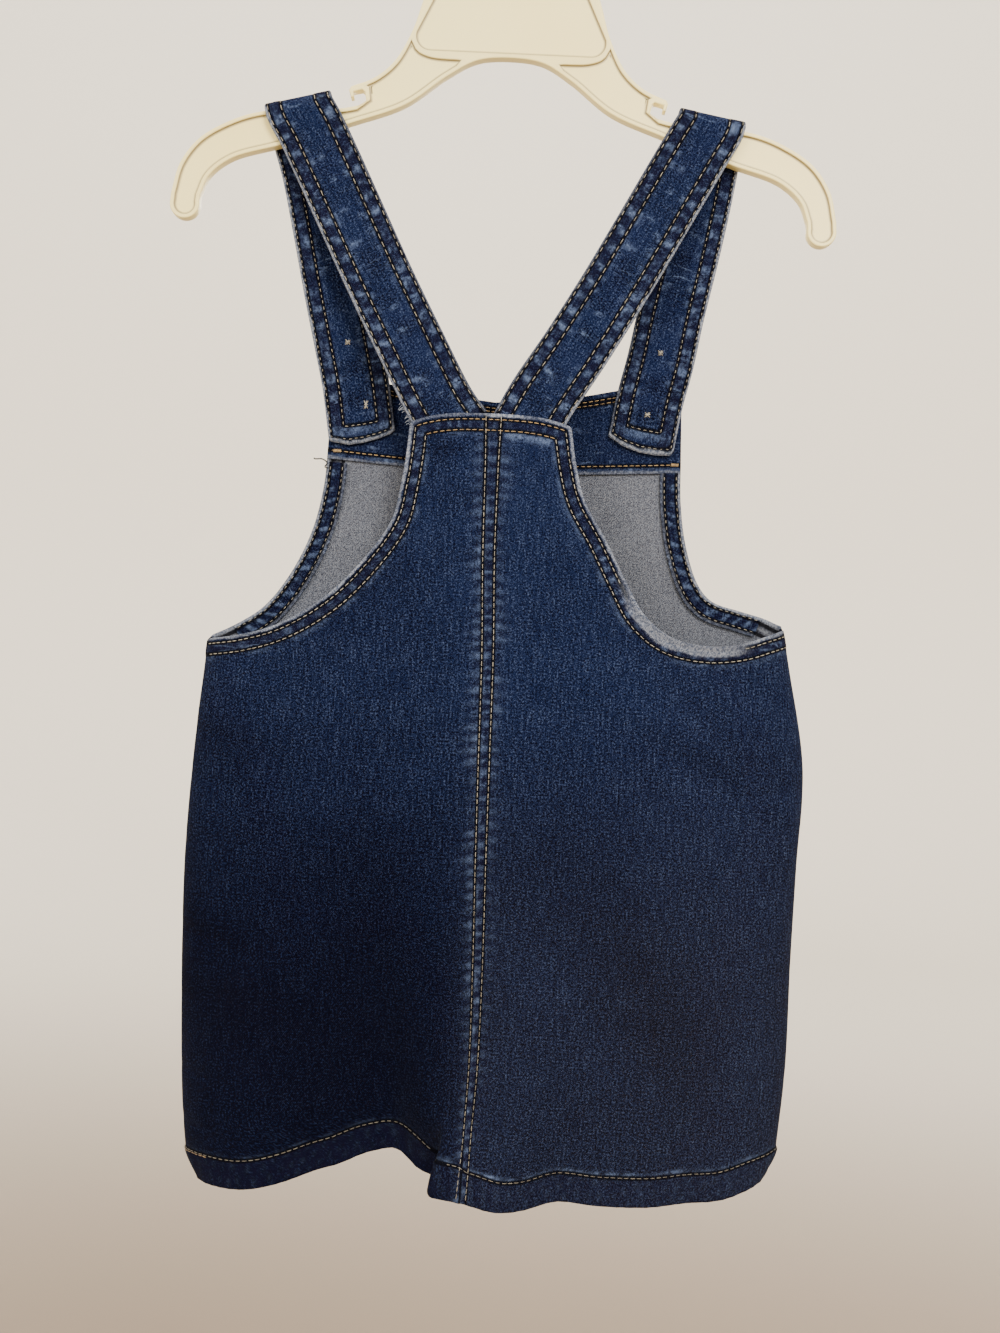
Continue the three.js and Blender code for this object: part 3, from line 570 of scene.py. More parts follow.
class Graph:
    """A node material, built with short calls."""

    def __init__(self, name):
        self.material = bpy.data.materials.new(name)
        self.material.use_nodes = True
        self.tree = self.material.node_tree

    def give(self, inputs, values):
        for key, value in values.items():
            if isinstance(value, Value):
                self.tree.links.new(value.socket, inputs[key])
            else:
                inputs[key].default_value = value

    def set(self, **values):
        shader = self.tree.nodes["Principled BSDF"]
        self.give(shader.inputs, {key.replace("_", " "): value for key, value in values.items()})

    def node(self, kind, output, inputs=None, **settings):
        made = self.tree.nodes.new(kind)
        for key, value in settings.items():
            setattr(made, key, value)
        self.give(made.inputs, inputs or {})
        return Value(self, made.outputs[output])

    def spot(self):
        return self.node("ShaderNodeTexCoord", "Object")

    def math(self, operation, *values):
        return self.node("ShaderNodeMath", 0, dict(enumerate(values)), operation=operation)

    def field(self, name):
        return self.node("ShaderNodeAttribute", "Fac", attribute_name=name)

    def noise(self, vector, scale, detail=2, rough=0.5, distortion=0):
        inputs = {"Vector": vector, "Scale": scale, "Detail": detail, "Roughness": rough}
        return self.node("ShaderNodeTexNoise", "Fac", {**inputs, "Distortion": distortion})

    def stretch(self, vector, scale, turn=0):
        return self.node("ShaderNodeMapping", 0, {"Vector": vector, "Scale": scale, "Rotation": (0, 0, turn)})

    def ramp(self, value, low, high, start=0, end=1):
        inputs = dict(enumerate((value, low, high, start, end)))
        return self.node("ShaderNodeMapRange", 0, inputs, interpolation_type="SMOOTHSTEP")

    def mix(self, share, one, two):
        """A colour mix, whose colours are the node's sockets 6 and 7."""
        return self.node("ShaderNodeMix", 2, {0: share, 6: one, 7: two}, data_type="RGBA")

    def bump(self, height, strength, distance):
        inputs = {"Height": height, "Strength": strength, "Distance": distance}
        return self.node("ShaderNodeBump", 0, inputs)


def linear(red, green, blue):
    """A colour from its eight-bit display values."""
    convert = lambda c: c / 12.92 if c <= 0.04045 else ((c + 0.055) / 1.055) ** 2.4
    return (*(convert(c / 255) for c in (red, green, blue)), 1)


def denim(name, deep, mid, light, grain_scale):
    """Washed twill denim. Its fields edge, seam and hem are distances from sewn edges, pale is how
    rubbed it is, wash how light it is from dye and painted light and shade, dark is
    painted shade and nap is painted sheen."""
    g = Graph(name)
    deep, mid, light = linear(*deep), linear(*mid), linear(*light)
    uv = g.node("ShaderNodeUVMap", 0, uv_map="UVMap")
    edge, wash = g.field("edge"), g.field("wash")
    wave = {
        "Vector": g.stretch(uv, (1, 1, 1), math.radians(-32)), "Scale": 42, "Distortion": 1.6, "Detail": 1,
        "Detail Scale": 1.5,
    }
    twill = g.node("ShaderNodeTexWave", "Fac", wave, wave_type="BANDS", bands_direction="X")
    slub = g.noise(g.stretch(uv, (95, 7, 1)), 1, 3, 0.6)
    weft = g.noise(g.stretch(uv, (9, 110, 1)), 1, 2, 0.6)
    grain = g.noise(uv, grain_scale, 3, 0.7)
    mottle = g.noise(uv, 56, 2, 0.7)
    blotch = g.noise(uv, 16, 3, 0.6)
    # How light it is: dye with painted light and shade, threads and flecks together
    level = (g.noise(uv, 3.2, 4, 0.55) - 0.5) * 0.3
    for part, share in ((slub, 0.6), (weft, 0.3), (grain, 4.3), (mottle, 1.3), (twill, 0.2)):
        level = level + (part - 0.5) * share
    level = wash + level * g.ramp(wash, 0, 0.8, 0.8, 1.1)
    colour = g.mix(g.math("MAXIMUM", level, 0), deep, mid)
    fleck = g.ramp(grain + slub * 0.4, 0.7, 0.96)
    colour = g.mix(fleck * g.ramp(wash, 0, 0.9, 0.05, 0.42), colour, light)
    # Painted sheen: a warm grey tint standing in for light caught by the cloth
    colour = g.mix(g.field("nap") * g.ramp(grain, 0.3, 0.7, 0.5, 1.5), colour, linear(62, 58, 48))
    # Rubbed puckers and roping, and painted shade between them
    colour = g.mix(g.field("pale") * g.ramp(blotch + mottle * 0.8, 0.6, 1.15), colour, light)
    colour = g.mix(g.field("dark") * g.ramp(mottle, 0.9, 0.4), colour, linear(12, 11, 30))
    # Pale cracks where worn cloth has been folded
    vein = abs(g.noise(g.stretch(uv, (3.4, 13, 1)), 1, 2, 0.5, 0.3) - 0.5)
    crack = g.ramp(vein, 0.03, 0.004) * (g.ramp(g.noise(uv, 7, 2), 0.5, 0.7) * g.field("cracks"))
    colour = g.mix(crack * g.ramp(mottle, 0.3, 0.6), colour, light)
    # Painted shadow in the lines pressed in along the stitch rows
    near = abs(abs(g.field("seam")) - SEAM_ROW)
    for field, row in ((edge, g.field("row_one")), (edge, g.field("row_two")), (g.field("hem"), HEM_ROW)):
        near = g.math("MINIMUM", near, abs(field - row))
    colour = g.mix(g.ramp(near, 1.4, 0.6) * 0.93, colour, linear(6, 6, 11))
    # The worn fold along each edge
    fold = g.ramp(edge + (blotch - 0.5) * 2.6, 1.5, 0.5) * g.field("worn")
    worn = g.mix(g.ramp(grain + mottle, 0.8, 1.2), linear(82, 90, 108), linear(140, 145, 156))
    colour = g.mix(g.math("MAXIMUM", fold, g.field("roll")), colour, worn)
    g.set(Base_Color=colour, Roughness=0.9, Specular_IOR_Level=0.03, Sheen_Weight=0.012, Sheen_Roughness=0.5)
    g.set(Normal=g.bump(twill * 0.5 + grain * 0.6 + slub * 0.4, 0.45, 0.0004))
    return g.material


def thread(name, pale, dark):
    g = Graph(name)
    ply = g.noise(g.spot(), 2600, 1)
    # The shade field is each stitch's random tone plus painted shade towards the hem
    colour = g.mix(g.field("shade") * 0.6 + ply * 0.5, linear(*pale), linear(*dark))
    g.set(Base_Color=colour, Roughness=0.7, Sheen_Weight=0.2, Normal=g.bump(ply, 0.5, 0.0002))
    return g.material


def moulded_plastic():
    g = Graph("hanger_plastic")
    colour = g.mix(g.ramp(g.noise(g.spot(), 9), 0.3, 0.7), linear(254, 234, 158), linear(255, 239, 168))
    # Painted shade in the grooves round the rim and at the panels' feet
    colour = g.mix(g.field("groove"), colour, linear(146, 130, 94))
    g.set(Base_Color=colour, Roughness=0.38, Specular_IOR_Level=0.45)
    g.set(Subsurface_Weight=0.06, Subsurface_Scale=0.0012, Subsurface_Radius=(1.0, 0.95, 0.8))
    g.set(Normal=g.bump(g.noise(g.spot(), 900), 0.12, 0.0002))
    return g.material


def horn():
    g = Graph("button_finish")
    swirl = g.ramp(g.noise(g.spot(), 160, 3, 0.6, 1.2), 0.35, 0.7)
    g.set(Base_Color=g.mix(swirl, linear(30, 28, 34), linear(70, 62, 56)), Roughness=0.32)
    g.set(Specular_IOR_Level=0.5, Normal=g.bump(g.noise(g.spot(), 700), 0.1, 0.0002))
    return g.material


make_camera()
DENIM = denim("denim_face", (4, 4, 16), (17, 26, 54), (94, 110, 142), 112)
WRONG = denim("denim_wrong_side", (50, 52, 62), (102, 106, 116), (146, 150, 158), 150)
CREAM = thread("thread_cream", (174, 167, 150), (102, 95, 83))
TAN = thread("thread_tan", (154, 146, 128), (86, 79, 67))
GOLD = thread("thread_gold", (178, 148, 98), (104, 82, 52))
DARK = thread("thread_dark", (12, 13, 20), (6, 7, 12))
PALE = thread("thread_frayed", (150, 156, 166), (110, 118, 132))
PLASTIC = moulded_plastic()
HORN = horn()


# Back and front
back, front = Panel("back"), Panel("front")


def spread(*stretches):
    """Values in stretches of (from, to, count), each without its last one."""
    parts = [np.linspace(a, b, n, endpoint=False) for a, b, n in stretches]
    return np.concatenate([*parts, [stretches[-1][1]]])


def both_ways(shares):
    return np.concatenate([-shares[:0:-1], shares])


def roping(along, seed, pitch):
    """Uneven marks along a sewn edge, from 0 to 1."""
    drift = along / pitch + 0.9 * noise(along / (pitch * 3.1), seed)
    wave = 0.5 + 0.5 * np.cos(2 * math.pi * drift)
    return smooth((wave - 0.35 - 0.3 * noise(along / (pitch * 0.8), seed + 1)) / 0.4)


def seam_half(z):
    """How far each row of the centre seam is from its middle."""
    return np.interp(z, *zip(*SEAM_WIDTHS))


SHADES = (  # x, z, half width, half height, turned by, how much lighter it is: partly dye, partly painted light and shade
    (-122, -438, 26, 17, -20, -0.13), (-70, -398, 62, 22, 4, 0.08), (-126, -530, 22, 9, -12, -0.1),
    (-112, -562, 32, 13, -10, -0.12), (-60, -590, 46, 24, 10, -0.06), (-40, -500, 34, 34, 0, -0.05),
    (128, -438, 30, 11, -10, -0.13), (112, -420, 26, 9, -34, -0.08), (60, -520, 60, 20, -36, -0.09),
    (100, -575, 46, 20, -50, -0.07), (96, -480, 40, 16, -20, 0.06), (135, -600, 20, 60, 0, 0.1),
    (36, -560, 26, 60, 0, 0.05), (-26, -300, 12, 10, 0, -0.12), (-22, -318, 16, 10, 0, -0.08),
    (24, -286, 20, 5, 0, 0.2), (-34, -290, 6, 10, 0, 0.12), (36, -322, 8, 30, 16, 0.16),
    (-24, -293, 15, 5, 4, -0.3), (-30, -330, 6, 22, -10, 0.16), (56, -474, 40, 34, -20, -0.1),
    (60, -400, 50, 26, -20, 0.08), (-20, -352, 16, 26, 10, 0.1), (22, -340, 10, 30, 0, 0.14),
    (0, -350, 50, 40, 0, -0.06), (-140, -610, 10, 40, 0, 0.08),
)


def seam_puckers(seam, z):
    """The teeth and gaps beside the centre seam: their rise, how pale they are, the painted shadow in
    their gaps, and how much lighter the dye is round them."""
    rise, pale, dark, lighter = (np.zeros_like(z) for _ in range(4))
    for sign, seed in ((-1, 31), (1, 32)):
        off = seam * sign - SEAM_ROW - 0.6
        beat = (z + 0.15 * off) / PUCKER_PITCH + 0.7 * noise(z / 17, seed) + 0.3 * sign
        turn = beat - np.floor(beat)
        size = noise(np.floor(beat) + 0.5, seed + 2)
        length = (3.4 if sign < 0 else 2.8) + 5 * size * noise(z / 31, seed + 5)
        out = np.clip(off, 0, None) / length
        fade = smooth(off / 0.5 + 0.5) * bell(out)
        tooth = bell((turn - 0.5) / (0.13 + 0.2 * bell(out))) * fade
        gap = bell((np.abs(turn - 0.5) - 0.5) / 0.24) * fade
        strength = (0.35 + 0.65 * size) * (0.84 - 0.16 * sign) * (0.5 + 0.5 * noise(z / 12, seed + 11))
        faded = 1 - (0.35 if sign < 0 else 0.65) * smooth((z + 430) / -110)
        rubbed = bell((off - 8) / 7) * noise(z / 15, seed + 9) * smooth((z + 450) / 90)
        rise = rise + strength * (0.42 * tooth - 0.2 * gap)
        pale = np.maximum(pale, 0.9 * strength * tooth * faded)
        # Painted shadow in the gaps between the teeth
        dark = np.maximum(dark, 0.95 * gap * (0.55 + 0.45 * size) * (0.4 + 0.6 * faded))
        lighter = lighter + 0.34 * (rubbed - 0.15) * smooth(off / 2)
    return rise, pale, dark, lighter


def back_dye_and_shading(x, z, lighter):
    """How light the back is, from its dye and from painted light and shade, and how much painted sheen it
    has.
    """
    low, high, left = smooth((z + 400) / -170), smooth((z + 350) / 60), smooth((28 - x) / 90)
    beside = smooth((10 - x + column("seam", z)) / 34)
    # Painted light and shade over the dye: lighter at the top, darker low down and on the left
    wash = 0.74 + 0.12 * high - 0.27 * low - 0.24 * low * beside - 0.15 * left * (1 - high) + lighter
    for at_x, at_z, wide, tall, degrees, amount in SHADES:
        across, up = turned(x - at_x, z - at_z, degrees)
        wash = wash + 1.4 * amount * bell(across / wide) * bell(up / tall)
    return wash, 0.07 * low * (1 - beside) + 0.02 * smooth((x - 40) / 70)


class Finish:
    """What a panel's sewing does at points of it: how proud it stands and its surface fields."""

    def __init__(self, panel):
        self.panel = panel
        self.edges = [*(panel.side_line(side) for side in SIDES), panel.top_line()]
        self.hem = panel.hem_line()

    def __call__(self, points):
        is_back = self.panel.face == "back"
        x, z = points[..., 0], points[..., 2]
        apart, reach = np.stack([nearest(points, line) for line in self.edges], 1)
        best = apart.argmin(axis=0)
        at_right, at_top = best == 1, best == 2
        edge = np.minimum(apart.min(axis=0), FAR)
        along = np.take_along_axis(reach, best[None], 0)[0] + 400 * best
        hem, hem_along = nearest(points, self.hem)
        # The turned edges
        marks = roping(along, 3, EDGE_PITCH) * noise(along / 11, 5)
        in_band = within(edge, *EDGE_BAND, 0.8)
        rise = EDGE_RISE * smooth((EDGE_TURN - edge) / 1.6) + 0.26 * marks * in_band
        halo = bell((edge - EDGE_TURN - 0.2) / 1.2) * smooth(2 * noise(along / 6, 81) - 0.4)
        pale = np.maximum(0.85 * marks * in_band, 0.24 * halo)
        # Painted shade between the roping marks
        dark = 0.8 * in_band * (1 - marks)
        worn = 0.4 + 0.6 * noise(along / 13, 85)
        # The hem
        hem_marks = roping(hem_along + 0.35 * hem, 7, EDGE_PITCH)
        in_hem = smooth((HEM_DEPTH + 0.9 - hem) / 1.2)
        rise = np.maximum(rise, (HEM_RISE + 0.22 * (hem_marks - 0.5)) * in_hem)
        above = bell((hem - HEM_ROW - 1.3) / 0.7) * (0.2 + 0.8 * smooth((x + 12) / 10))
        pale = np.maximum(pale, 0.8 * above * noise(hem_along / 4, 21))
        pale = np.maximum(pale, 0.05 * hem_marks * in_hem * (hem > 1))
        # Painted shade in the hem band between its marks, deeper on the left
        dark = np.maximum(dark, in_hem * (0.3 + 0.35 * smooth(-x / 20)) * (1 - hem_marks))
        seam, roll, row_one = np.full_like(x, FAR), np.zeros_like(x), np.full_like(x, EDGE_ROWS[0])
        if is_back:
            # The felled seam and what is beside it
            seam = (x - column("seam", z)) * SEAM_ROW / seam_half(z)
            rise = np.maximum(rise, SEAM_RISE * smooth((SEAM_BAND - np.abs(seam)) / 1.1))
            more_rise, teeth, gaps, lighter = seam_puckers(seam, z)
            rise = rise + more_rise
            patch = bell((edge - 10) / 1.8) * smooth((x - 4) / 4) * smooth((37 - x) / 6) * at_top
            bars = roping(z + 300, 37, BAR_PITCH)
            between = smooth((SEAM_ROW - 0.5 - np.abs(seam)) / 0.5)
            felled = bell((seam + 1.4) / 0.6) * noise(z / 1.9, 41)
            for more in (teeth, 0.75 * patch, 0.4 * between * bars, 0.7 * felled):
                pale = np.maximum(pale, more)
            # Painted shadow in the gaps between the teeth and between the bars
            dark = np.maximum(np.maximum(dark, gaps), 0.75 * between * (1 - bars))
            wash, nap = back_dye_and_shading(x, z, lighter)
            top_worn = 0.3 + 0.65 * smooth((x + 6) / 6) * smooth((16 - x) / 5) + 0.25 * smooth((x - 20) / 6)
            worn = np.where(at_top, top_worn, worn)
            roll = at_right * smooth((x - ROLL["from"]) / 16) * smooth((ROLL["to"] - x) / 14)
            row_one = np.where(roll > 0.5, -FAR, row_one)
        else:
            # Darker towards the hem
            wash = 0.62 - 0.2 * smooth((z + 420) / -230)
            nap = 0.02
            worn = worn * (1 - 0.9 * at_top)
        for row in EDGE_ROWS:
            rise = rise - 0.16 * bell((edge - row) / 0.6)
        lips = roll * smooth((ROLL["wide"] + 1.2 * noise(along / 6, 83) - edge) / 0.9)
        curl = roll * ROLL["proud"] * np.clip(1 - edge / (ROLL["wide"] + 2), 0, 1) ** 1.6
        return rise, cloth_fields(
            x, edge=edge, seam=seam, hem=hem, pale=pale, wash=wash, dark=dark, row_one=row_one,
            row_two=EDGE_ROWS[1], worn=worn, cracks=0.5 * smooth((11 - edge) / 3), roll=0.72 * lips, nap=nap,
            curl=curl,
        )


def cloth_fields(like, **given):
    """The fields that denim reads, as arrays like the one given."""
    usual = {"seam": FAR, "hem": FAR}
    return {key: np.zeros_like(like) + value for key, value in {**usual, **given}.items()}


CREASES = {  # x, z, angle, half length, half width, depth outwards
    "back": (
        (96, -425, -28, 46, 7, 1.6), (112, -447, -30, 38, 6, -1.4), (70, -505, -24, 44, 12, -1.8),
        (104, -540, -62, 55, 12, 1.8), (-60, -470, 18, 50, 14, 1.2), (-90, -520, 40, 46, 12, -1.5),
        (-20, -560, 62, 40, 10, -1.4), (40, -590, 70, 44, 12, 1.3), (-104, -432, -20, 30, 8, 1.0),
        (28, -455, 80, 50, 14, 0.9), (-112, -575, 70, 46, 12, 1.2), (132, -500, 86, 40, 9, -1.2),
        (-128, -436, -8, 16, 3, -0.9), (-130, -458, -12, 14, 3, -0.8), (-131, -487, 6, 15, 3, -0.8),
        (-128, -533, -14, 20, 3.4, -1.0), (-128, -562, 10, 18, 3, -0.9), (-130, -598, -6, 13, 2.6, -0.8),
        (-128, -624, -10, 12, 2.6, -0.8), (142, -425, 14, 14, 3, -0.8), (146, -452, 6, 18, 3.2, -1.0),
        (148, -470, -8, 12, 2.6, -0.7), (146, -540, 10, 12, 2.6, -0.7), (145, -590, -6, 13, 2.6, -0.7),
        (132, -404, -30, 16, 3, -0.8),
    ),
    "front": (
        (-70, -430, 24, 46, 9, -1.5), (74, -450, -30, 50, 10, 1.6), (20, -520, 70, 48, 12, -1.4),
        (-44, -560, 60, 44, 12, 1.5), (102, -560, -66, 50, 12, 1.4), (-104, -500, 50, 40, 10, 1.2),
        (36, -360, 12, 50, 10, 0.8), (-40, -340, -10, 40, 9, -0.8),
    ),
}


def creases(face, points):
    x, z = points[..., 0], points[..., 2]
    out = np.zeros_like(x)
    for at_x, at_z, angle, length, width, depth in CREASES[face]:
        along, across = turned(x - at_x, z - at_z, angle)
        out = out + depth * bell(along / length) * bell((across + 0.002 * along**2) / width)
    return out


def panel_piece(panel, shares, rows, name, replaced):
    u, b = np.meshgrid(both_ways(shares), rows)
    points = panel(u, b)
    rise, fields = Finish(panel)(points)
    relief = creases(panel.face, points) * smooth(fields["edge"] / 14) * smooth((1 - np.abs(u)) / 0.05)
    relief = relief + fields.pop("curl")
    draw_in = np.clip(1 - fields["hem"] / CORNER_TAPER["height"], 0, 1) ** 1.5
    points[..., 0] -= np.sign(u) * CORNER_TAPER["depth"] * draw_in * smooth((np.abs(u) - 0.8) / 0.2)
    reach = np.array([reach_of(row) for row in points])
    reach = reach - reach[:, reach.shape[1] // 2][:, None]
    uv = np.stack([reach, points[..., 2]], -1) * UV_SCALE
    mesh = shell(name, points, panel.outward, HALF + rise + relief, -HALF + relief, fields, uv)
    return place(name, mesh, (DENIM, WRONG), replaced)


back_shares = spread((0, 0.09, 15), (0.09, 0.94, 52), (0.94, 1, 7))
back_rows = spread((0, 0.03, 10), (0.03, 0.955, 210), (0.955, 1, 16))
back_piece = panel_piece(back, back_shares, back_rows, "back", ("back_left", "back_right"))
front_shares = spread((0, 0.9, 42), (0.9, 1, 9))
front_rows = spread((0, 0.03, 8), (0.03, 0.955, 120), (0.955, 1, 12))
front_piece = panel_piece(front, front_shares, front_rows, "front_panel", ("front",))


# Straps
class Strap:
    def __init__(self, side):
        data, self.end = STRAPS[side], STRAP_ENDS[side]
        points, across = [], []

        def add(x, z, tilt, twist, rest):
            if rest == "back":
                rest = drape_over("back", x, z)[1] + HALF + GAP + STRAP_THICK + STRAP_EASE
            if rest == "bib":
                under = HALF + FACING_WALL + 2 * GAP + STRAP_THICK + STRAP_EASE
                rest = drape_over("front", x, z)[1] - under
            t, w = math.radians(tilt), math.radians(twist)
            points.append((x, rest, z))
            across.append((math.cos(t) * math.cos(w), math.sin(w), math.sin(t) * math.cos(w)))

        for row in data["rise"]:
            add(*row)
        x, z, tilt, radius = data["fold"]
        t = math.radians(tilt)
        for i in range(STRAP_TURNS + 1):
            turn = math.pi * i / STRAP_TURNS
            up = math.sin(turn) * radius
            points.append((x - math.sin(t) * up, -math.cos(turn) * radius, z + math.cos(t) * up))
            across.append((math.cos(t), 0, math.sin(t)))
        for row in data["fall"]:
            add(*row)
        self.path, self.widths = Line(points), Line(across)
        self.length = self.path.length

    def __call__(self, u, share):
        """Points at u of the half width and share of the length, with the normals there."""
        row = np.interp(share, self.path.reach / self.length, np.linspace(0, 1, len(self.path.points)))
        centre = self.path.by_row(row)
        after, before = np.minimum(row + 1e-3, 1), np.maximum(row - 1e-3, 0)
        along = unit(self.path.by_row(after) - self.path.by_row(before))
        across = self.widths.by_row(row)
        across = unit(across - along * (across * along).sum(-1, keepdims=True))
        return centre + across * (u * STRAP_HALF)[..., None], np.cross(across, along)

    def past(self, u):
        """How far the curved end reaches past the path at u."""
        at, reach = zip(*self.end)
        return np.interp(u * STRAP_HALF, at, reach)

    def ended(self, u, share):
        """The same points with the front end drawn into its curve."""
        points, normal = self(u, share)
        along = share * self.length
        ease = smooth((along - self.length + STRAP_END_EASE) / STRAP_END_EASE)
        last = self.path.points[-1] - self.path.points[-4]
        return points + unit(last) * (self.past(u) * ease)[..., None], normal

    def row(self, lines, inset, end_inset):
        """A stitch row down one side, across the front end and up the other side, as u and share."""
        u = 1 - inset / STRAP_HALF
        bottom = lambda at: 1 - end_inset / (self.length + self.past(at))
        turn = np.linspace(-u, u, lines // 4)
        side = np.linspace(0.004, 1, lines)
        down, up = side * bottom(-u), side[::-1] * bottom(u)
        at = np.concatenate([np.full(lines, -u), turn, np.full(lines, u)])
        return at, np.concatenate([down, bottom(turn), up])


def strap_relief(edge, along, seed):
    """A strap's puckers and worn cross creases: how far they rise and how pale they are."""
    spots = smooth(2.2 * noise(along / 3.1, seed + 9, edge / 2.4) - 0.25)
    broad, narrow, inner = STRAP_PITCHES
    marks = roping(along + 0.3 * edge, seed, broad) * spots
    small = roping(along - 0.5 * edge + 4, seed + 3, narrow) * noise(along / 14, seed + 4)
    marks = np.maximum(marks, 0.55 * small)
    in_band = within(edge, *STRAP_BAND, 0.9)
    rise = 0.32 * (marks - 0.4) * in_band
    for row in STRAP_ROWS:
        rise = rise - 0.2 * bell((edge - row) / 0.6)
    inside = bell((edge - 9.8) / 1.3) * roping(along + 3, seed + 5, inner) * noise(along / 9, seed + 6)
    ragged = 0.55 + 0.45 * noise(along / 2.3, seed + 7, edge / 2.3)
    cross = np.zeros_like(along)
    for k in range(1, 12):
        at = 31 * k + 13 * math.sin(seed + 2.3 * k)
        lean = 0.35 * math.sin(3.1 * k + seed)
        bend = at + lean * edge + 1.5 * noise(edge / 4, seed + k)
        broken = smooth(1.9 * noise(edge / 4, seed + 20 + k, along / 50) - 0.35)
        cross = np.maximum(cross, bell(along - bend) * broken)
    cross = cross * smooth((edge - 7) / 2) * (edge < STRAP_HALF)
    pale = np.maximum(np.maximum(marks * in_band, 0.65 * inside) * ragged, 0.95 * cross)
    return rise + 0.15 * cross, pale


def strap_piece(side):
    """A strap as a flat tube: its outer face, a round rim, its inner face and the other rim."""
    name, strap, end_rows = f"strap_{side}_cloth", STRAP_LINES[side], STRAP_END_ROWS[side]
    turn = np.linspace(0, math.pi, 7)[1:-1]
    rounded = 1 - STRAP_THICK / STRAP_HALF
    lane = np.linspace(-1, 1, 26) * rounded
    rim = rounded + np.sin(turn) * (1 - rounded)
    flat = np.ones(len(lane))
    u, share = np.meshgrid(np.concatenate([lane, rim, lane[::-1], -rim]), np.linspace(0, 1, 230))
    lift = np.zeros_like(u) + np.concatenate([flat, np.cos(turn), -flat, -np.cos(turn)])
    points, normal = strap.ended(u, share)
    edge = STRAP_HALF * (1 - np.abs(u))
    along = share * strap.length
    bottom = strap.length - along
    thick = STRAP_THIN + (STRAP_THICK - STRAP_THIN) * smooth((STRAP_FOLD + 2.2 - edge) / 1.5)
    over = strap_relief(edge, along + np.where(u > 0, 700, 0), 51)
    under = strap_relief(edge, along + np.where(u > 0, 900, 300), 57)
    rise, pale = np.where(lift > 0, over, under)
    end = 1 - np.minimum(along, bottom) / STRAP_THICK
    cap = np.sqrt(np.clip(1 - np.clip(end, 0, 1) ** 2, 0.02, 1))
    vertices = points + normal * (lift * (thick + rise * (np.abs(lift) > 0.99)) * cap)[..., None]
    sewn = np.interp(bottom, (0, *end_rows, 60), (0, *STRAP_ROWS, 59))
    lip = smooth((end_rows[0] - 0.4 - bottom) / 0.5)
    above = bell((bottom - end_rows[1] + 1.9) / 1.1) * (0.5 + 0.5 * noise(u * 6, 91)) * (edge > 2.2)
    pale = np.maximum(pale, np.maximum(lip, 0.85 * above))
    band = within(edge, *STRAP_BAND, 0.8)
    worn = 0.95 - 0.6 * smooth((u * (1 if side == "left" else -1) - 0.2) / 0.4)
    # dark is painted shade in the band between the pale marks
    fields = cloth_fields(
        u, edge=np.minimum(edge, sewn), pale=pale, row_one=STRAP_ROWS[0], row_two=STRAP_ROWS[1],
        wash=0.42 + 0.8 * noise(u * 2.2 + 40, 93, along / 8) + 0.1 * bell((edge - 10.5) / 2.5),
        dark=0.8 * band * (1 - pale), worn=np.maximum(worn, smooth((end_rows[0] - bottom) / 0.8)), cracks=0.5,
    )
    uv = np.stack([u * STRAP_HALF + np.where(lift > 0, 0, 80), along], -1) * UV_SCALE
    mesh = mesh_of(name, vertices.reshape(-1, 3), tube_faces(*u.shape), fields, None, uv.reshape(-1, 2))
    piece = place(name, mesh, (DENIM,), (f"strap_{side}",))
    rows = []
    for row, end_row in zip(STRAP_ROWS, end_rows):
        line, up = strap.ended(*strap.row(400, row, end_row))
        stand = up * (STRAP_THICK - STITCH_SUNK)
        rows.append((line + stand, up, *STITCHES["strap"]))
        rows.append((line - stand, -up, *STITCHES["strap_under"]))
    return piece, sew(f"stitching_{name}", rows, TAN)


STRAP_LINES = {side: Strap(side) for side in SIDES}
strap_left, left_sewing = strap_piece("left")
strap_right, right_sewing = strap_piece("right")


# Facings
BIB_FACING = {"top": 0.0005, "bottom": 0.095, "height": 34, "rows": (2.6, 4.3, 30.7)}
BARTACK = {"turns": 14, "wide": 3.6, "tall": 1.7, "thread": 0.34, "at": (-0.945, 0.97)}
INWARDS = (0.0, -1.0, 0.0)


def offset_line(points, inset, inward):
    """A line of x, z points moved sideways."""
    along = unit(np.gradient(points, axis=0))
    return points + np.stack([-along[:, 1], along[:, 0]], -1) * inward * inset


def row_inside(line, stand, pitch, length, width):
    """A stitch row on a facing's inner side, over a line of the front's middle surface."""
    return line - (0, stand, 0), np.broadcast_to(INWARDS, line.shape), pitch, length, width


def bartack(x, z, stand):
    """A dense zigzag across a row's end."""
    turns = BARTACK["turns"]
    at = np.linspace(-BARTACK["wide"] / 2, BARTACK["wide"] / 2, turns)
    up = np.where(np.arange(turns) % 2 == 0, -BARTACK["tall"] / 2, BARTACK["tall"] / 2)
    line = drape_over("front", x + at, z + up)
    step = reach_of(line)[-1] / (turns - 1)
    return row_inside(line, stand, step * 0.999, step * 1.02, BARTACK["thread"])


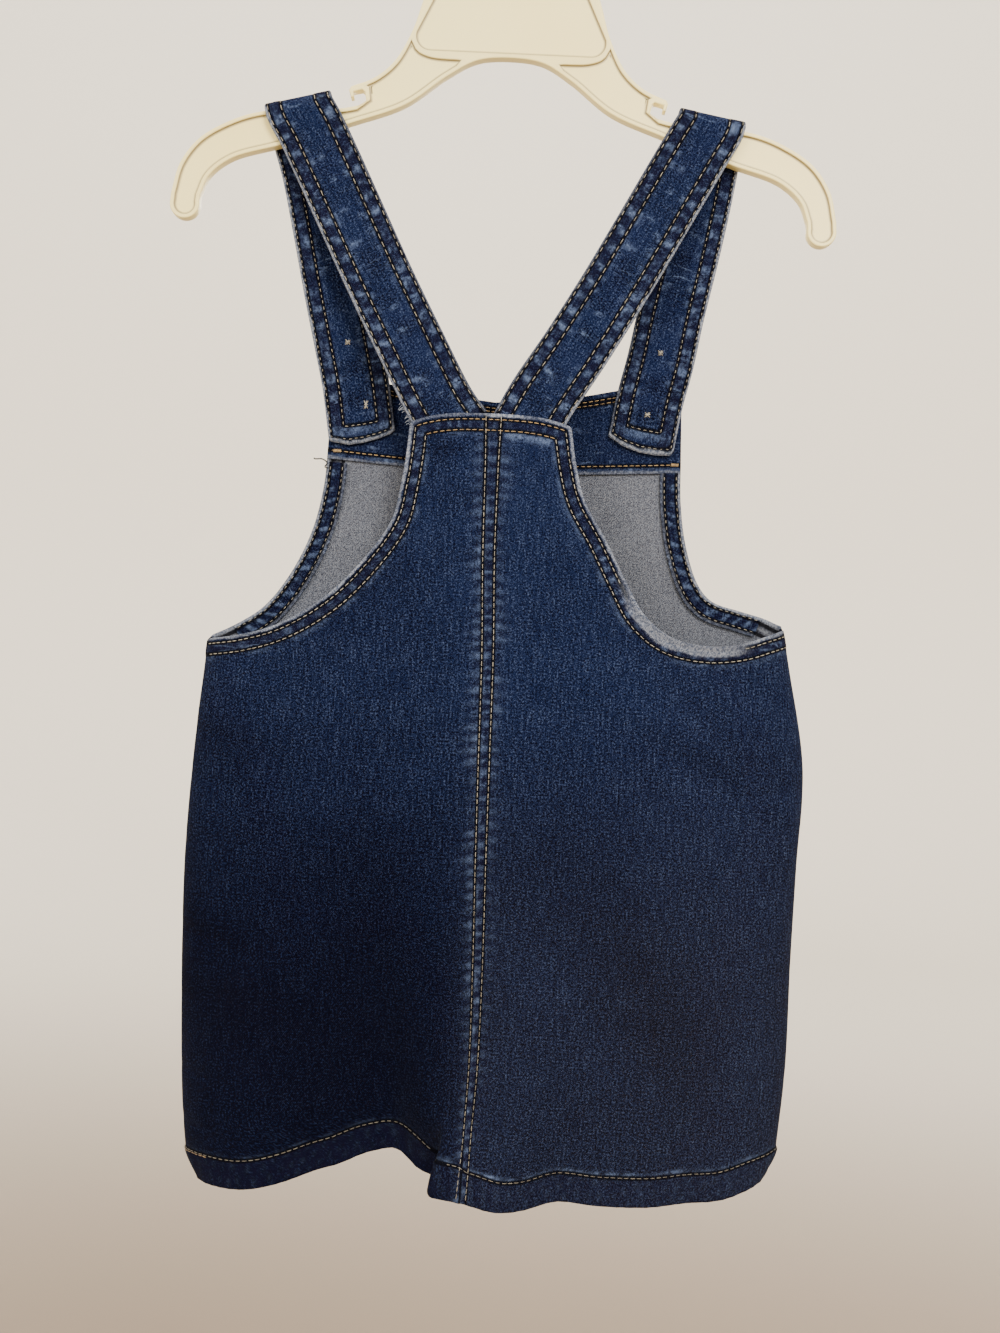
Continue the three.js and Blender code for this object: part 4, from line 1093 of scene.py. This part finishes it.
def bib_facing_piece():
    top, bottom, height = (BIB_FACING[key] for key in ("top", "bottom", "height"))
    rows_down = BIB_FACING["rows"]
    one, two, low = rows_down
    u, b = np.meshgrid(both_ways(spread((0, 1, 60))), np.linspace(top, bottom, 28))
    points = front(u, b)
    x = points[..., 0]
    down = (b - top) / (bottom - top) * height
    near_top = height - low + np.minimum(np.abs(down - one), np.abs(down - two))
    fields = cloth_fields(
        x, edge=np.where(down < height / 2, near_top, height - down), row_one=height - low,
        row_two=height - low, pale=0.6 * bell((down - low - 1.5) / 0.8) * noise(x / 3, 61), wash=0.85,
        dark=0.1, worn=0.4, cracks=0.7,
    )
    near = -HALF - GAP
    rear = near - FACING_WALL - 0.12 * noise(x / 5, 63, down / 9)
    mesh = shell("bib_facing_cloth", points, 1, near, rear, fields, points[..., (0, 2)] * UV_SCALE)
    piece = place("bib_facing_cloth", mesh, (DENIM, DENIM), ("bib_facing",))
    stand = HALF + GAP + FACING_WALL + 0.1
    share = lambda row: top + (bottom - top) * row / height
    across = np.linspace(-SEWN_TO, SEWN_TO, 400)
    rows = [row_inside(front(across, share(row)), stand, *STITCHES["bib_facing"]) for row in rows_down]
    for u_end in BARTACK["at"]:
        x, _, z = front(u_end, share(low))
        rows.append(bartack(x, z, stand))
    return piece, sew("stitching_bib_facing", rows, GOLD)


def armhole_facing_piece(side):
    curve = Line(ARMHOLES["front"][side])
    inward = 1 if side == "left" else -1
    share, lane = np.meshgrid(np.linspace(0.277, 0.93, 120), np.linspace(0, 1, 12), indexing="ij")
    t = unit(curve.by_length(share + 1e-3) - curve.by_length(share - 1e-3))
    reach = FACING_SET_BACK + (FACING_WIDTH - FACING_SET_BACK) * lane
    on = curve.by_length(share) + np.stack([-t[..., 1], t[..., 0]], -1) * inward * reach[..., None]
    points = drape_over("front", on[..., 0], on[..., 1])
    along = share * curve.length
    band = within(reach, 1.6, 8.2, 0.8)
    marks = roping(along + 0.6 * reach, 71, 6.3) * smooth(2.4 * noise(along / 4, 73, reach / 3) - 0.3)
    row = 1.8
    # dark is painted shade in the band between the marks
    fields = cloth_fields(
        reach, edge=np.minimum(reach, FACING_WIDTH - reach), pale=0.5 * marks * band, wash=0.6, row_one=row,
        row_two=row, dark=0.55 * band * (1 - marks), worn=np.where(reach < FACING_WIDTH / 2, 0.8, 0.25),
        cracks=0.7,
    )
    near = -HALF - FACING_EASE
    rear = near - FACING_WALL - 0.3 * marks * band
    name = f"armhole_facing_{side}_cloth"
    mesh = shell(name, points, inward, near, rear, fields, np.stack([reach, along], -1) * UV_SCALE)
    piece = place(name, mesh, (DENIM, DENIM), (f"armhole_facing_{side}",))
    rows, stand = [], HALF + FACING_EASE + FACING_WALL + 0.15
    at = curve.by_length(np.linspace(0.285, 0.925, 300))
    for inset in (row, FACING_WIDTH - row):
        line = drape_over("front", *offset_line(at, inset, inward).T)
        rows.append(row_inside(line, stand, *STITCHES["armhole_facing"]))
    return piece, sew(f"stitching_armhole_facing_{side}", rows, TAN)


bib_facing_cloth, bib_sewing = bib_facing_piece()
armhole_facings = [armhole_facing_piece(side) for side in SIDES]


# Topstitching of the panels
FINISH = {"back": Finish(back), "front": Finish(front)}


def row_on(panel, points, kind):
    """A stitch row on a panel's outer face, over points of its middle surface."""
    x, z = points[:, 0], points[:, 2]
    step = 0.4
    across = drape_over(panel.face, x + step, z) - drape_over(panel.face, x - step, z)
    down = drape_over(panel.face, x, z - step) - drape_over(panel.face, x, z + step)
    normal = unit(np.cross(across, down)) * panel.outward
    rise, fields = FINISH[panel.face](points)
    relief = creases(panel.face, points) * smooth(fields["edge"] / 14)
    off = HALF + rise + relief + fields["curl"] + 0.08
    return points + normal * off[:, None], normal, *STITCHES[kind]


def armhole_rows(panel):
    rows = []
    for side, inward in (("left", 1), ("right", -1)):
        edge = Line(ARMHOLES[panel.face][side]).by_length(np.linspace(0, 1, 300))
        for inset in EDGE_ROWS:
            line = drape_over(panel.face, *offset_line(edge, inset, inward).T)
            x, clear = line[:, 0], nearest(line, panel.top_line())[0] > inset
            stretches = [clear]
            if panel.face == "back" and side == "right" and inset == EDGE_ROWS[0]:
                clear = clear & ~((x > ROLL["from"] + 4) & (x < ROLL["to"] - 6))
                stretches = [clear & (x < 90), clear & (x > 90)]
            rows += [row_on(panel, line[some], "armhole") for some in stretches]
    return rows


def panel_stitching(panel):
    face = panel.face
    height = TOP[face] - HEM[face]
    gold, made = [], []
    for inset in EDGE_ROWS:
        line = panel(np.linspace(-1, 1, 400), inset / height)
        sides = [nearest(line, panel.side_line(side))[0] for side in SIDES]
        gold.append(row_on(panel, line[np.minimum(*sides) > inset], "top"))
    across = np.linspace(-SEWN_TO, SEWN_TO, 600)
    share = 1 - HEM_ROW / height
    for _ in range(5):
        share = share + (nearest(panel(across, share), panel.hem_line())[0] - HEM_ROW) / height
    hem = [row_on(panel, panel(across, share), "hem")]
    if face == "back":
        first = slice(0, 50)
        gold.append(row_on(panel, panel(across[first], share[first] + 0.5 / height), "overlap"))
        z = np.linspace(TOP["back"] - 0.6, HEM["back"] + 1, 700)
        lines = [drape_over(face, column("seam", z) + sign * seam_half(z), z) for sign in (-1, 1)]
        cream = [row_on(panel, line, "seam") for line in lines]
        made.append(sew("stitching_centre_seam", cream, CREAM))
    made.append(sew(f"stitching_{face}_armholes", armhole_rows(panel), CREAM))
    made.append(sew(f"stitching_{face}_hem", hem, TAN))
    made.append(sew(f"stitching_{face}", gold, GOLD))
    return made


back_sewing = panel_stitching(back)
front_sewing = panel_stitching(front)


# Hanger
RIM_THICK = 5.6
WEB_THICK = 3.2
RIM_WIDTH = 2
OUTER_ROUND = 0.7
PANEL_ROUND = 0.5
HANGER_TOP = (
    (33, -52), (37.5, -56.5), (43.2, -72), (48.3, -88.5), (56.5, -104), (66, -112.5), (77, -117.2),
)
HANGER_LIP = (
    (78, -119), (76.9, -122.6), (75.4, -122.3), (75.8, -119.7), (71.6, -118.6), (70.2, -119.6),
    (69.4, -123.8),
)
HANGER_ARM_TOP = (
    (71.8, -126.1), (82, -128.3), (101, -129.7), (119, -131.2), (134, -136), (150, -145.8), (159, -158.5),
    (162.6, -173),
)
HANGER_TIP = (155.8, -178, 7.2, 12, -190)
HANGER_ARM_UNDER = (
    (148.4, -173.6), (144.5, -164), (134, -155.2), (110, -147.4), (76, -135.2), (50, -125), (30, -110),
    (16, -102),
)
HANGER_SLOT = ((70.2, -117.5), (69.4, -123.8))
ARCH_TOP = (0, -100.1)
ARM_PANEL_END = 25
ARM_PANEL_INNER = ((24, -102.2), (39, -101.4), (45.6, -98.6), (48.6, -93.4))
PLAQUE_CORNERS = ((26, -62.5, 7, 90, 15, 8), (39.4, -91, 7, 15, -90, 10))  # x, z, radius, turn, points
FLOOR_EDGE = 0.8
HOOK_INNER = 19
HOOK_BAR = 6.4
HOOK_ARC = (195, -42, 40)
HOOK_NECK = ((9.6, -40.4), (2.6, -43.6), (0, -47.6), (0, -51.7))
HOOK_SIDES = 24
HOOK_TIP = 2.4


def arc(x, z, radius, start, end, count):
    turn = np.radians(np.linspace(start, end, count + 1))
    return np.stack([x + np.cos(turn) * radius, z + np.sin(turn) * radius], -1)


def evenly(rows, count):
    return Line(rows).by_length(np.linspace(0, 1, count + 1))


def sideways(rows, distance):
    """An open line moved to the right of its direction."""
    along = unit(np.vstack([rows[1:2] - rows[:1], rows[2:] - rows[:-2], rows[-1:] - rows[-2:-1]]))
    return rows + np.stack([along[:, 1], -along[:, 0]], -1) * distance


def mirrored(rows):
    return rows[::-1] * (-1, 1)


def spaced(loop, least):
    """A loop without points that are nearer to the last one than least."""
    kept = [loop[0]]
    for point in loop[1:]:
        if np.hypot(*(point - kept[-1])) > least:
            kept.append(point)
    if np.hypot(*(kept[-1] - kept[0])) < least:
        kept.pop()
    return np.array(kept)


def grown(loop, distance):
    """A closed loop, clockwise in x, z, moved outwards."""
    after, before = np.roll(loop, -1, 0) - loop, loop - np.roll(loop, 1, 0)
    one, two = unit(before), unit(after)
    normal = unit(np.stack([-one[:, 1] - two[:, 1], one[:, 0] + two[:, 0]], -1))
    cosine = np.clip((normal * np.stack([-one[:, 1], one[:, 0]], -1)).sum(1), 0.6, 1)
    return loop + normal * (distance / cosine)[:, None]


class Solid:
    """Gathers loops and faces of a moulded solid."""

    def __init__(self):
        self.vertices, self.grooves, self.faces, self.flat = [], [], [], []

    def loop(self, rows, y, groove=0.0):
        self.vertices.append(np.stack([rows[:, 0], np.full(len(rows), float(y)), rows[:, 1]], -1))
        self.grooves += [groove] * len(rows)
        return np.arange(len(self.grooves) - len(rows), len(self.grooves))

    def face(self, corners, flat):
        self.faces.append(corners)
        self.flat.append(flat)

    def bands(self, *loops):
        """Quads between each loop and the next."""
        for one, two in zip(loops, loops[1:]):
            for corners in zip(one, np.roll(one, -1), np.roll(two, -1), two):
                self.face(corners, False)

    def cap(self, *loops):
        """A flat face inside the first loop and outside the others."""
        everything = np.vstack(self.vertices)
        order = np.concatenate(loops)
        for triangle in tessellate_polygon([[Vector(everything[i]) for i in loop] for loop in loops]):
            self.face([int(order[k]) for k in triangle], True)

    def mesh(self, name):
        bm = bmesh.new()
        layer = bm.verts.layers.float.new("groove")
        points = [bm.verts.new(v * MM) for v in np.vstack(self.vertices)]
        for point, groove in zip(points, self.grooves):
            point[layer] = groove
        for face, flat in zip(self.faces, self.flat):
            try:
                made = bm.faces.new([points[i] for i in face])
            except ValueError:
                continue
            made.smooth = not flat
        bmesh.ops.remove_doubles(bm, verts=bm.verts, dist=1e-6)
        mesh = bpy.data.meshes.new(name)
        finish_mesh(bm, mesh)
        return mesh


def finish_mesh(bm, mesh):
    bmesh.ops.recalc_face_normals(bm, faces=bm.faces)
    bm.to_mesh(mesh)
    bm.free()


def rounded(solid, loop, inside, start_y, end_y, radius, grooves=(0.0, 0.0)):
    """Loops of a quarter turn from a wall at start_y to a flat at end_y. grooves is how much painted
    shade the first and the last loop get.
    """
    steps = 4
    loops = []
    for i in range(steps + 1):
        turn = math.pi / 2 * i / steps
        shift = radius * (1 - math.cos(turn)) * inside
        groove = grooves[0] + (grooves[1] - grooves[0]) * i / steps
        loops.append(solid.loop(grown(loop, shift), start_y + (end_y - start_y) * math.sin(turn), groove))
    solid.bands(*loops)
    return loops[0], loops[-1]


def hanger_outline():
    lip = np.array(HANGER_LIP, float)
    arch = [*HANGER_ARM_UNDER, ARCH_TOP, *((-x, z) for x, z in HANGER_ARM_UNDER[:-3:-1])]
    under = evenly(arch, 90)
    under = under[under[:, 0] > 1]
    arm = np.vstack([evenly(HANGER_ARM_TOP, 48), arc(*HANGER_TIP, 20), under])
    right = np.vstack([evenly(HANGER_TOP, 40), lip, arm])
    return spaced(np.vstack([right, [ARCH_TOP], mirrored(right)]), 0.35), arm


def hanger_panels(arm):
    arm_top = sideways(evenly(HANGER_TOP[3:], 24)[4:-4], RIM_WIDTH)
    rest = sideways(arm, RIM_WIDTH)[1:]
    rest = rest[rest[:, 0] > ARM_PANEL_END]
    inner = evenly(ARM_PANEL_INNER, 12)
    panel = spaced(np.vstack([arm_top, sideways(np.array(HANGER_SLOT), RIM_WIDTH), rest, inner]), 0.5)
    plaque = np.vstack([arc(*corner) for corner in PLAQUE_CORNERS])
    return [panel, mirrored(panel), spaced(np.vstack([plaque, mirrored(plaque)]), 0.5)]


def hanger_piece():
    outline, arm = hanger_outline()
    solid = Solid()
    walls = []
    for face in (-1, 1):
        top, web = face * RIM_THICK / 2, face * WEB_THICK / 2
        wall, outer = rounded(solid, outline, -1, top - face * OUTER_ROUND, top, OUTER_ROUND)
        walls.append(wall)
        holes = []
        for panel in hanger_panels(arm):
            # Painted shade at each panel's top edge and foot
            under, hole = rounded(solid, panel, 1, top - face * PANEL_ROUND, top, PANEL_ROUND, (0.6, 0.1))
            foot, edge = rounded(solid, panel, -1, web + face * PANEL_ROUND, web, PANEL_ROUND, (1.0, 0.85))
            floor = solid.loop(grown(panel, -PANEL_ROUND - FLOOR_EDGE), web)
            solid.bands(edge, floor)
            solid.bands(under, foot)
            solid.cap(floor)
            holes.append(hole)
        solid.cap(outer, *holes)
    solid.bands(*walls)
    mesh = solid.mesh("hanger_moulding")
    return place("hanger_moulding", mesh, (PLASTIC,), ("hanger",))


def hook_piece():
    """The hook's bar, rounded square in section, with a rounded tip."""
    radius = HOOK_INNER + HOOK_BAR / 2
    curve = Line(np.vstack([arc(0, -HOOK_INNER, radius, *HOOK_ARC), HOOK_NECK]), 12)
    share = np.linspace(0, 1, 150)
    centre = curve.by_length(share)
    along = unit(np.gradient(centre, axis=0))
    out = np.stack([-along[:, 1], along[:, 0]], -1)
    turn = np.arange(HOOK_SIDES) * 2 * math.pi / HOOK_SIDES
    square = lambda w: np.sign(w) * np.abs(w) ** 0.5
    tip = np.sqrt(np.clip(1 - np.clip(1 - share * curve.length / HOOK_TIP, 0, 1) ** 2, 0.04, 1))[:, None]
    wide = square(np.cos(turn)) * HOOK_BAR / 2 * tip
    high = square(np.sin(turn)) * RIM_THICK / 2 * tip
    spot = centre[:, None] + out[:, None] * wide[..., None]
    rings = np.stack([spot[..., 0], high, spot[..., 1]], -1)
    mesh = mesh_of("hook_moulding", rings.reshape(-1, 3), tube_faces(*wide.shape))
    bm = bmesh.new()
    bm.from_mesh(mesh)
    finish_mesh(bm, mesh)
    place("hook_moulding", mesh, (PLASTIC,), ("hanger_hook",))


hanger_moulding = hanger_piece()
hook_piece()


# Buttons
BUTTONS = (
    ("button_left_upper", -74, -240, "strap"), ("button_left_lower", -66.4, -272, "bib"),
    ("button_right_upper", 81.4, -240, "strap"), ("button_right_lower", 75, -268.6, "bib"),
)
BUTTON_RADIUS = 7.5
BUTTON_DISH = 1.7
BUTTON_PROFILE = (  # inside the radius, height
    (0.6, 0), (0.2, 0.2), (0, 0.8), (0, 1.6), (0.25, 2.25), (0.8, 2.6), (1.3, 2.5), (1.9, 1.9),
    (2.5, BUTTON_DISH),
)
HOLE_RADIUS = 0.9
HOLE_OFFSET = 1.7
HOLE_LIP = 0.18
CROSSES = {  # the thread's crosses behind the straps: x, z, width, height
    "left": ((-74, -240.4, 2.6, 2.6), (-63.6, -271.4, 2.0, 4.2)),
    "right": ((80.7, -239, 2.6, 2.6), (75.5, -269.4, 2.8, 2.6)),
}


def strap_spot(strap, z, share):
    """Where a strap's middle passes a height, as its place among the shares and the point there."""
    centre, normal = strap(np.zeros_like(share), share)
    i = int(np.abs(centre[:, 2] - z).argmin())
    return i, centre[i], normal[i]


def button_frame(x, z, on):
    """Where a button's back lies, with its axis outwards."""
    if on == "bib":
        y = float(drape_over("front", x, z)[1]) + HALF + EDGE_RISE + GAP
        return np.array([x, y, z]), np.array([0.0, 1.0, 0.0])
    strap = STRAP_LINES["left" if x < 0 else "right"]
    _, centre, normal = strap_spot(strap, z, np.linspace(0.7, 1, 1200))
    axis = normal * (1 if normal[1] > 0 else -1)
    return centre + axis * (STRAP_THICK + GAP), axis


def button_piece(name, x, z, on):
    solid = Solid()
    circle = lambda radius, count: arc(0, 0, radius, 360, 0, count)[:-1]
    rings = [solid.loop(circle(BUTTON_RADIUS - inside, 48), y) for inside, y in BUTTON_PROFILE]
    solid.bands(*rings)
    low, high = [], []
    for sx in (-1, 1):
        for sz in (-1, 1):
            middle = (sx * HOLE_OFFSET, sz * HOLE_OFFSET)
            hole, lip = (circle(radius, 16) + middle for radius in (HOLE_RADIUS, HOLE_RADIUS + HOLE_LIP))
            low.append(solid.loop(hole, 0))
            throat = solid.loop(hole, BUTTON_DISH - HOLE_LIP)
            high.append(solid.loop(lip, BUTTON_DISH))
            solid.bands(low[-1], throat, high[-1])
    solid.cap(rings[0], *low)
    solid.cap(rings[-1], *high)
    origin, axis = button_frame(x, z, on)
    right = unit(np.array([axis[1], -axis[0], 0.0]))
    up = np.cross(right, axis)
    solid.vertices = [origin + np.vstack(solid.vertices) @ np.array([right, axis, up])]
    place(f"{name}_turned", solid.mesh(name), (HORN,), (name,))
    return origin, axis, right, up


def one_stitch(line, normal, length, width):
    """A single stitch along a line of points, as a row for stitch_mesh."""
    line = np.asarray(line, float)
    return line, np.broadcast_to(normal, line.shape), length * 0.999, length, width


def button_threads(frames):
    """Thread over each button's holes and the small crosses behind the straps."""
    rows = []
    reach = HOLE_OFFSET + 0.5
    for origin, axis, right, up in frames:
        for side in (-1, 1):
            middle = origin + right * side * HOLE_OFFSET + axis * (BUTTON_DISH + 0.12)
            for shift in (-0.28, 0.28):
                line = [middle + right * shift + up * t * reach for t in (-1, -0.5, 0, 0.5, 1)]
                rows.append((np.array(line), np.broadcast_to(axis, (5, 3)), reach * 1.99, reach * 2, 0.42))
    for side in SIDES:
        strap, share = STRAP_LINES[side], np.linspace(0.6, 1, 1600)
        for x, z, wide, tall in CROSSES[side]:
            i, centre, _ = strap_spot(strap, z, share)
            spot, normal = strap(np.array([(x - centre[0]) / STRAP_HALF]), share[i : i + 1])
            inward = normal[0] * (-1 if normal[0][1] > 0 else 1)
            base = spot[0] + inward * (STRAP_THIN + 0.15)
            for k, (dx, dz) in enumerate(((1, 1), (1, -1), (0.3, 1), (1, 0.1))):
                half = np.array([dx * wide / 2, 0, dz * tall / 2])
                line = [base + half * t + inward * 0.16 * k for t in (-1, -0.5, 0, 0.5, 1)]
                rows.append(one_stitch(line, inward, 2 * np.linalg.norm(half), 0.5))
    sew("button_threads", rows, CREAM)


button_threads([button_piece(*row) for row in BUTTONS])


# Loose ends of thread
TAIL = (  # the dark thread that hangs out at the left armhole
    (-88.6, 7.4, -298), (-87.5, 7.4, -298.3), (-84.2, 7.6, -298.2), (-81.8, 7.9, -300), (-82.9, 7.6, -302.1),
    (-81.3, 8, -302.4),
)
FRAYS = {"count": 24, "from": 0.012, "to": 0.07, "shift": 0.002, "reach": (1.1, 2.9), "rise": (-0.9, 0.5)}


def hair(points, width):
    """A hair through points as overlapping short stitches."""
    spots = Line(points, 10).by_length(np.linspace(0, 1, 2 + 4 * len(points)))
    lines = [np.linspace(a, b, 5) for a, b in zip(spots[:-1], spots[1:])]
    return [one_stitch(line, INWARDS, reach_of(line)[-1], width) for line in lines]


def loose_threads():
    sew("loose_thread_dark", hair(TAIL, 0.85), DARK)
    rng = np.random.default_rng(97)
    strap, shift = STRAP_LINES["left"], FRAYS["shift"]
    rows = []
    for share in np.linspace(FRAYS["from"], FRAYS["to"], FRAYS["count"]):
        spot = strap(np.array([-0.995]), np.array([share + rng.uniform(-shift, shift)]))[0][0]
        beside = strap(np.array([-0.9]), np.array([share]))[0][0]
        out = unit(spot - beside) * rng.uniform(*FRAYS["reach"])
        end = spot + out + (0, -0.2, rng.uniform(*FRAYS["rise"]))
        rows += hair([spot, (spot + end) / 2 + (0, 0, 0.2), end], 0.26)
    sew("frayed_threads", rows, PALE)


loose_threads()


# Stage and light
STAGE = {"floor": -1.3, "radius": 3.0, "wall": 4.6, "height": 5.0, "sides": 72, "turns": 12}
MIDDLE = (0, 0, -0.4)
WARM = (1.0, 0.98, 0.95)


def stage_paper():
    g = Graph("stage_paper")
    distance = g.node("ShaderNodeVectorMath", "Value", {0: g.spot()}, operation="LENGTH")
    # Painted shade: the paper is darker near the middle of the floor and lighter further out
    colour = g.mix(g.ramp(distance, 1.3, 4.9), linear(128, 112, 96), linear(254, 248, 237))
    g.set(Base_Color=colour, Roughness=0.95, Specular_IOR_Level=0.1)
    return g.material


def make_stage():
    """A round floor that curves up into a wall."""
    radius, bend, sides = STAGE["radius"], STAGE["wall"] - STAGE["radius"], STAGE["sides"]
    profile = [(radius, 0)]
    for i in range(1, STAGE["turns"] + 1):
        turn = math.pi / 2 * i / STAGE["turns"]
        profile.append((radius + bend * math.sin(turn), bend * (1 - math.cos(turn))))
    profile.append((STAGE["wall"], STAGE["height"]))
    turns = np.arange(sides) * 2 * math.pi / sides
    vertices = [(r * math.cos(t), r * math.sin(t), STAGE["floor"] + z) for r, z in profile for t in turns]
    index = np.arange(len(vertices)).reshape(-1, sides)
    one, two = index[:-1], index[1:]
    quads = np.stack([one, two, np.roll(two, -1, 1), np.roll(one, -1, 1)], -1).reshape(-1, 4)
    faces = [index[0].tolist(), *quads.tolist()]
    mesh = bpy.data.meshes.new("floor")
    mesh.from_pydata(vertices, [], faces)
    mesh.polygons.foreach_set("use_smooth", [True] * len(faces))
    mesh.materials.append(stage_paper())
    floor = put("floor", mesh)


def area_light(name, where, target, size, power, colour=(1, 1, 1)):
    data = bpy.data.lights.new(name, "AREA")
    data.shape = "DISK"
    data.size = size
    data.energy = power
    data.color = colour
    light = put(name, data)
    light.location = where
    light.rotation_euler = (Vector(target) - Vector(where)).to_track_quat("-Z", "Y").to_euler()


make_stage()
area_light("key", (0.9, -2.2, 0.9), MIDDLE, 1.2, 86, (1.0, 0.98, 0.94))
area_light("fill", (-1.6, -1.8, 0.2), MIDDLE, 1.8, 34, WARM)
area_light("rear", (0.6, 2.4, 0.8), MIDDLE, 2.0, 70)
area_light("low", (0.4, -1.9, -1.9), MIDDLE, 1.6, 12, WARM)
area_light("backdrop", (0.0, 1.6, 2.7), (0.0, 4.6, 0.9), 2.2, 60)
world = bpy.data.worlds.new("world")
bpy.context.scene.world = world
world.use_nodes = True
background = world.node_tree.nodes["Background"]
background.inputs["Color"].default_value = linear(240, 234, 224)
background.inputs["Strength"].default_value = 1.9
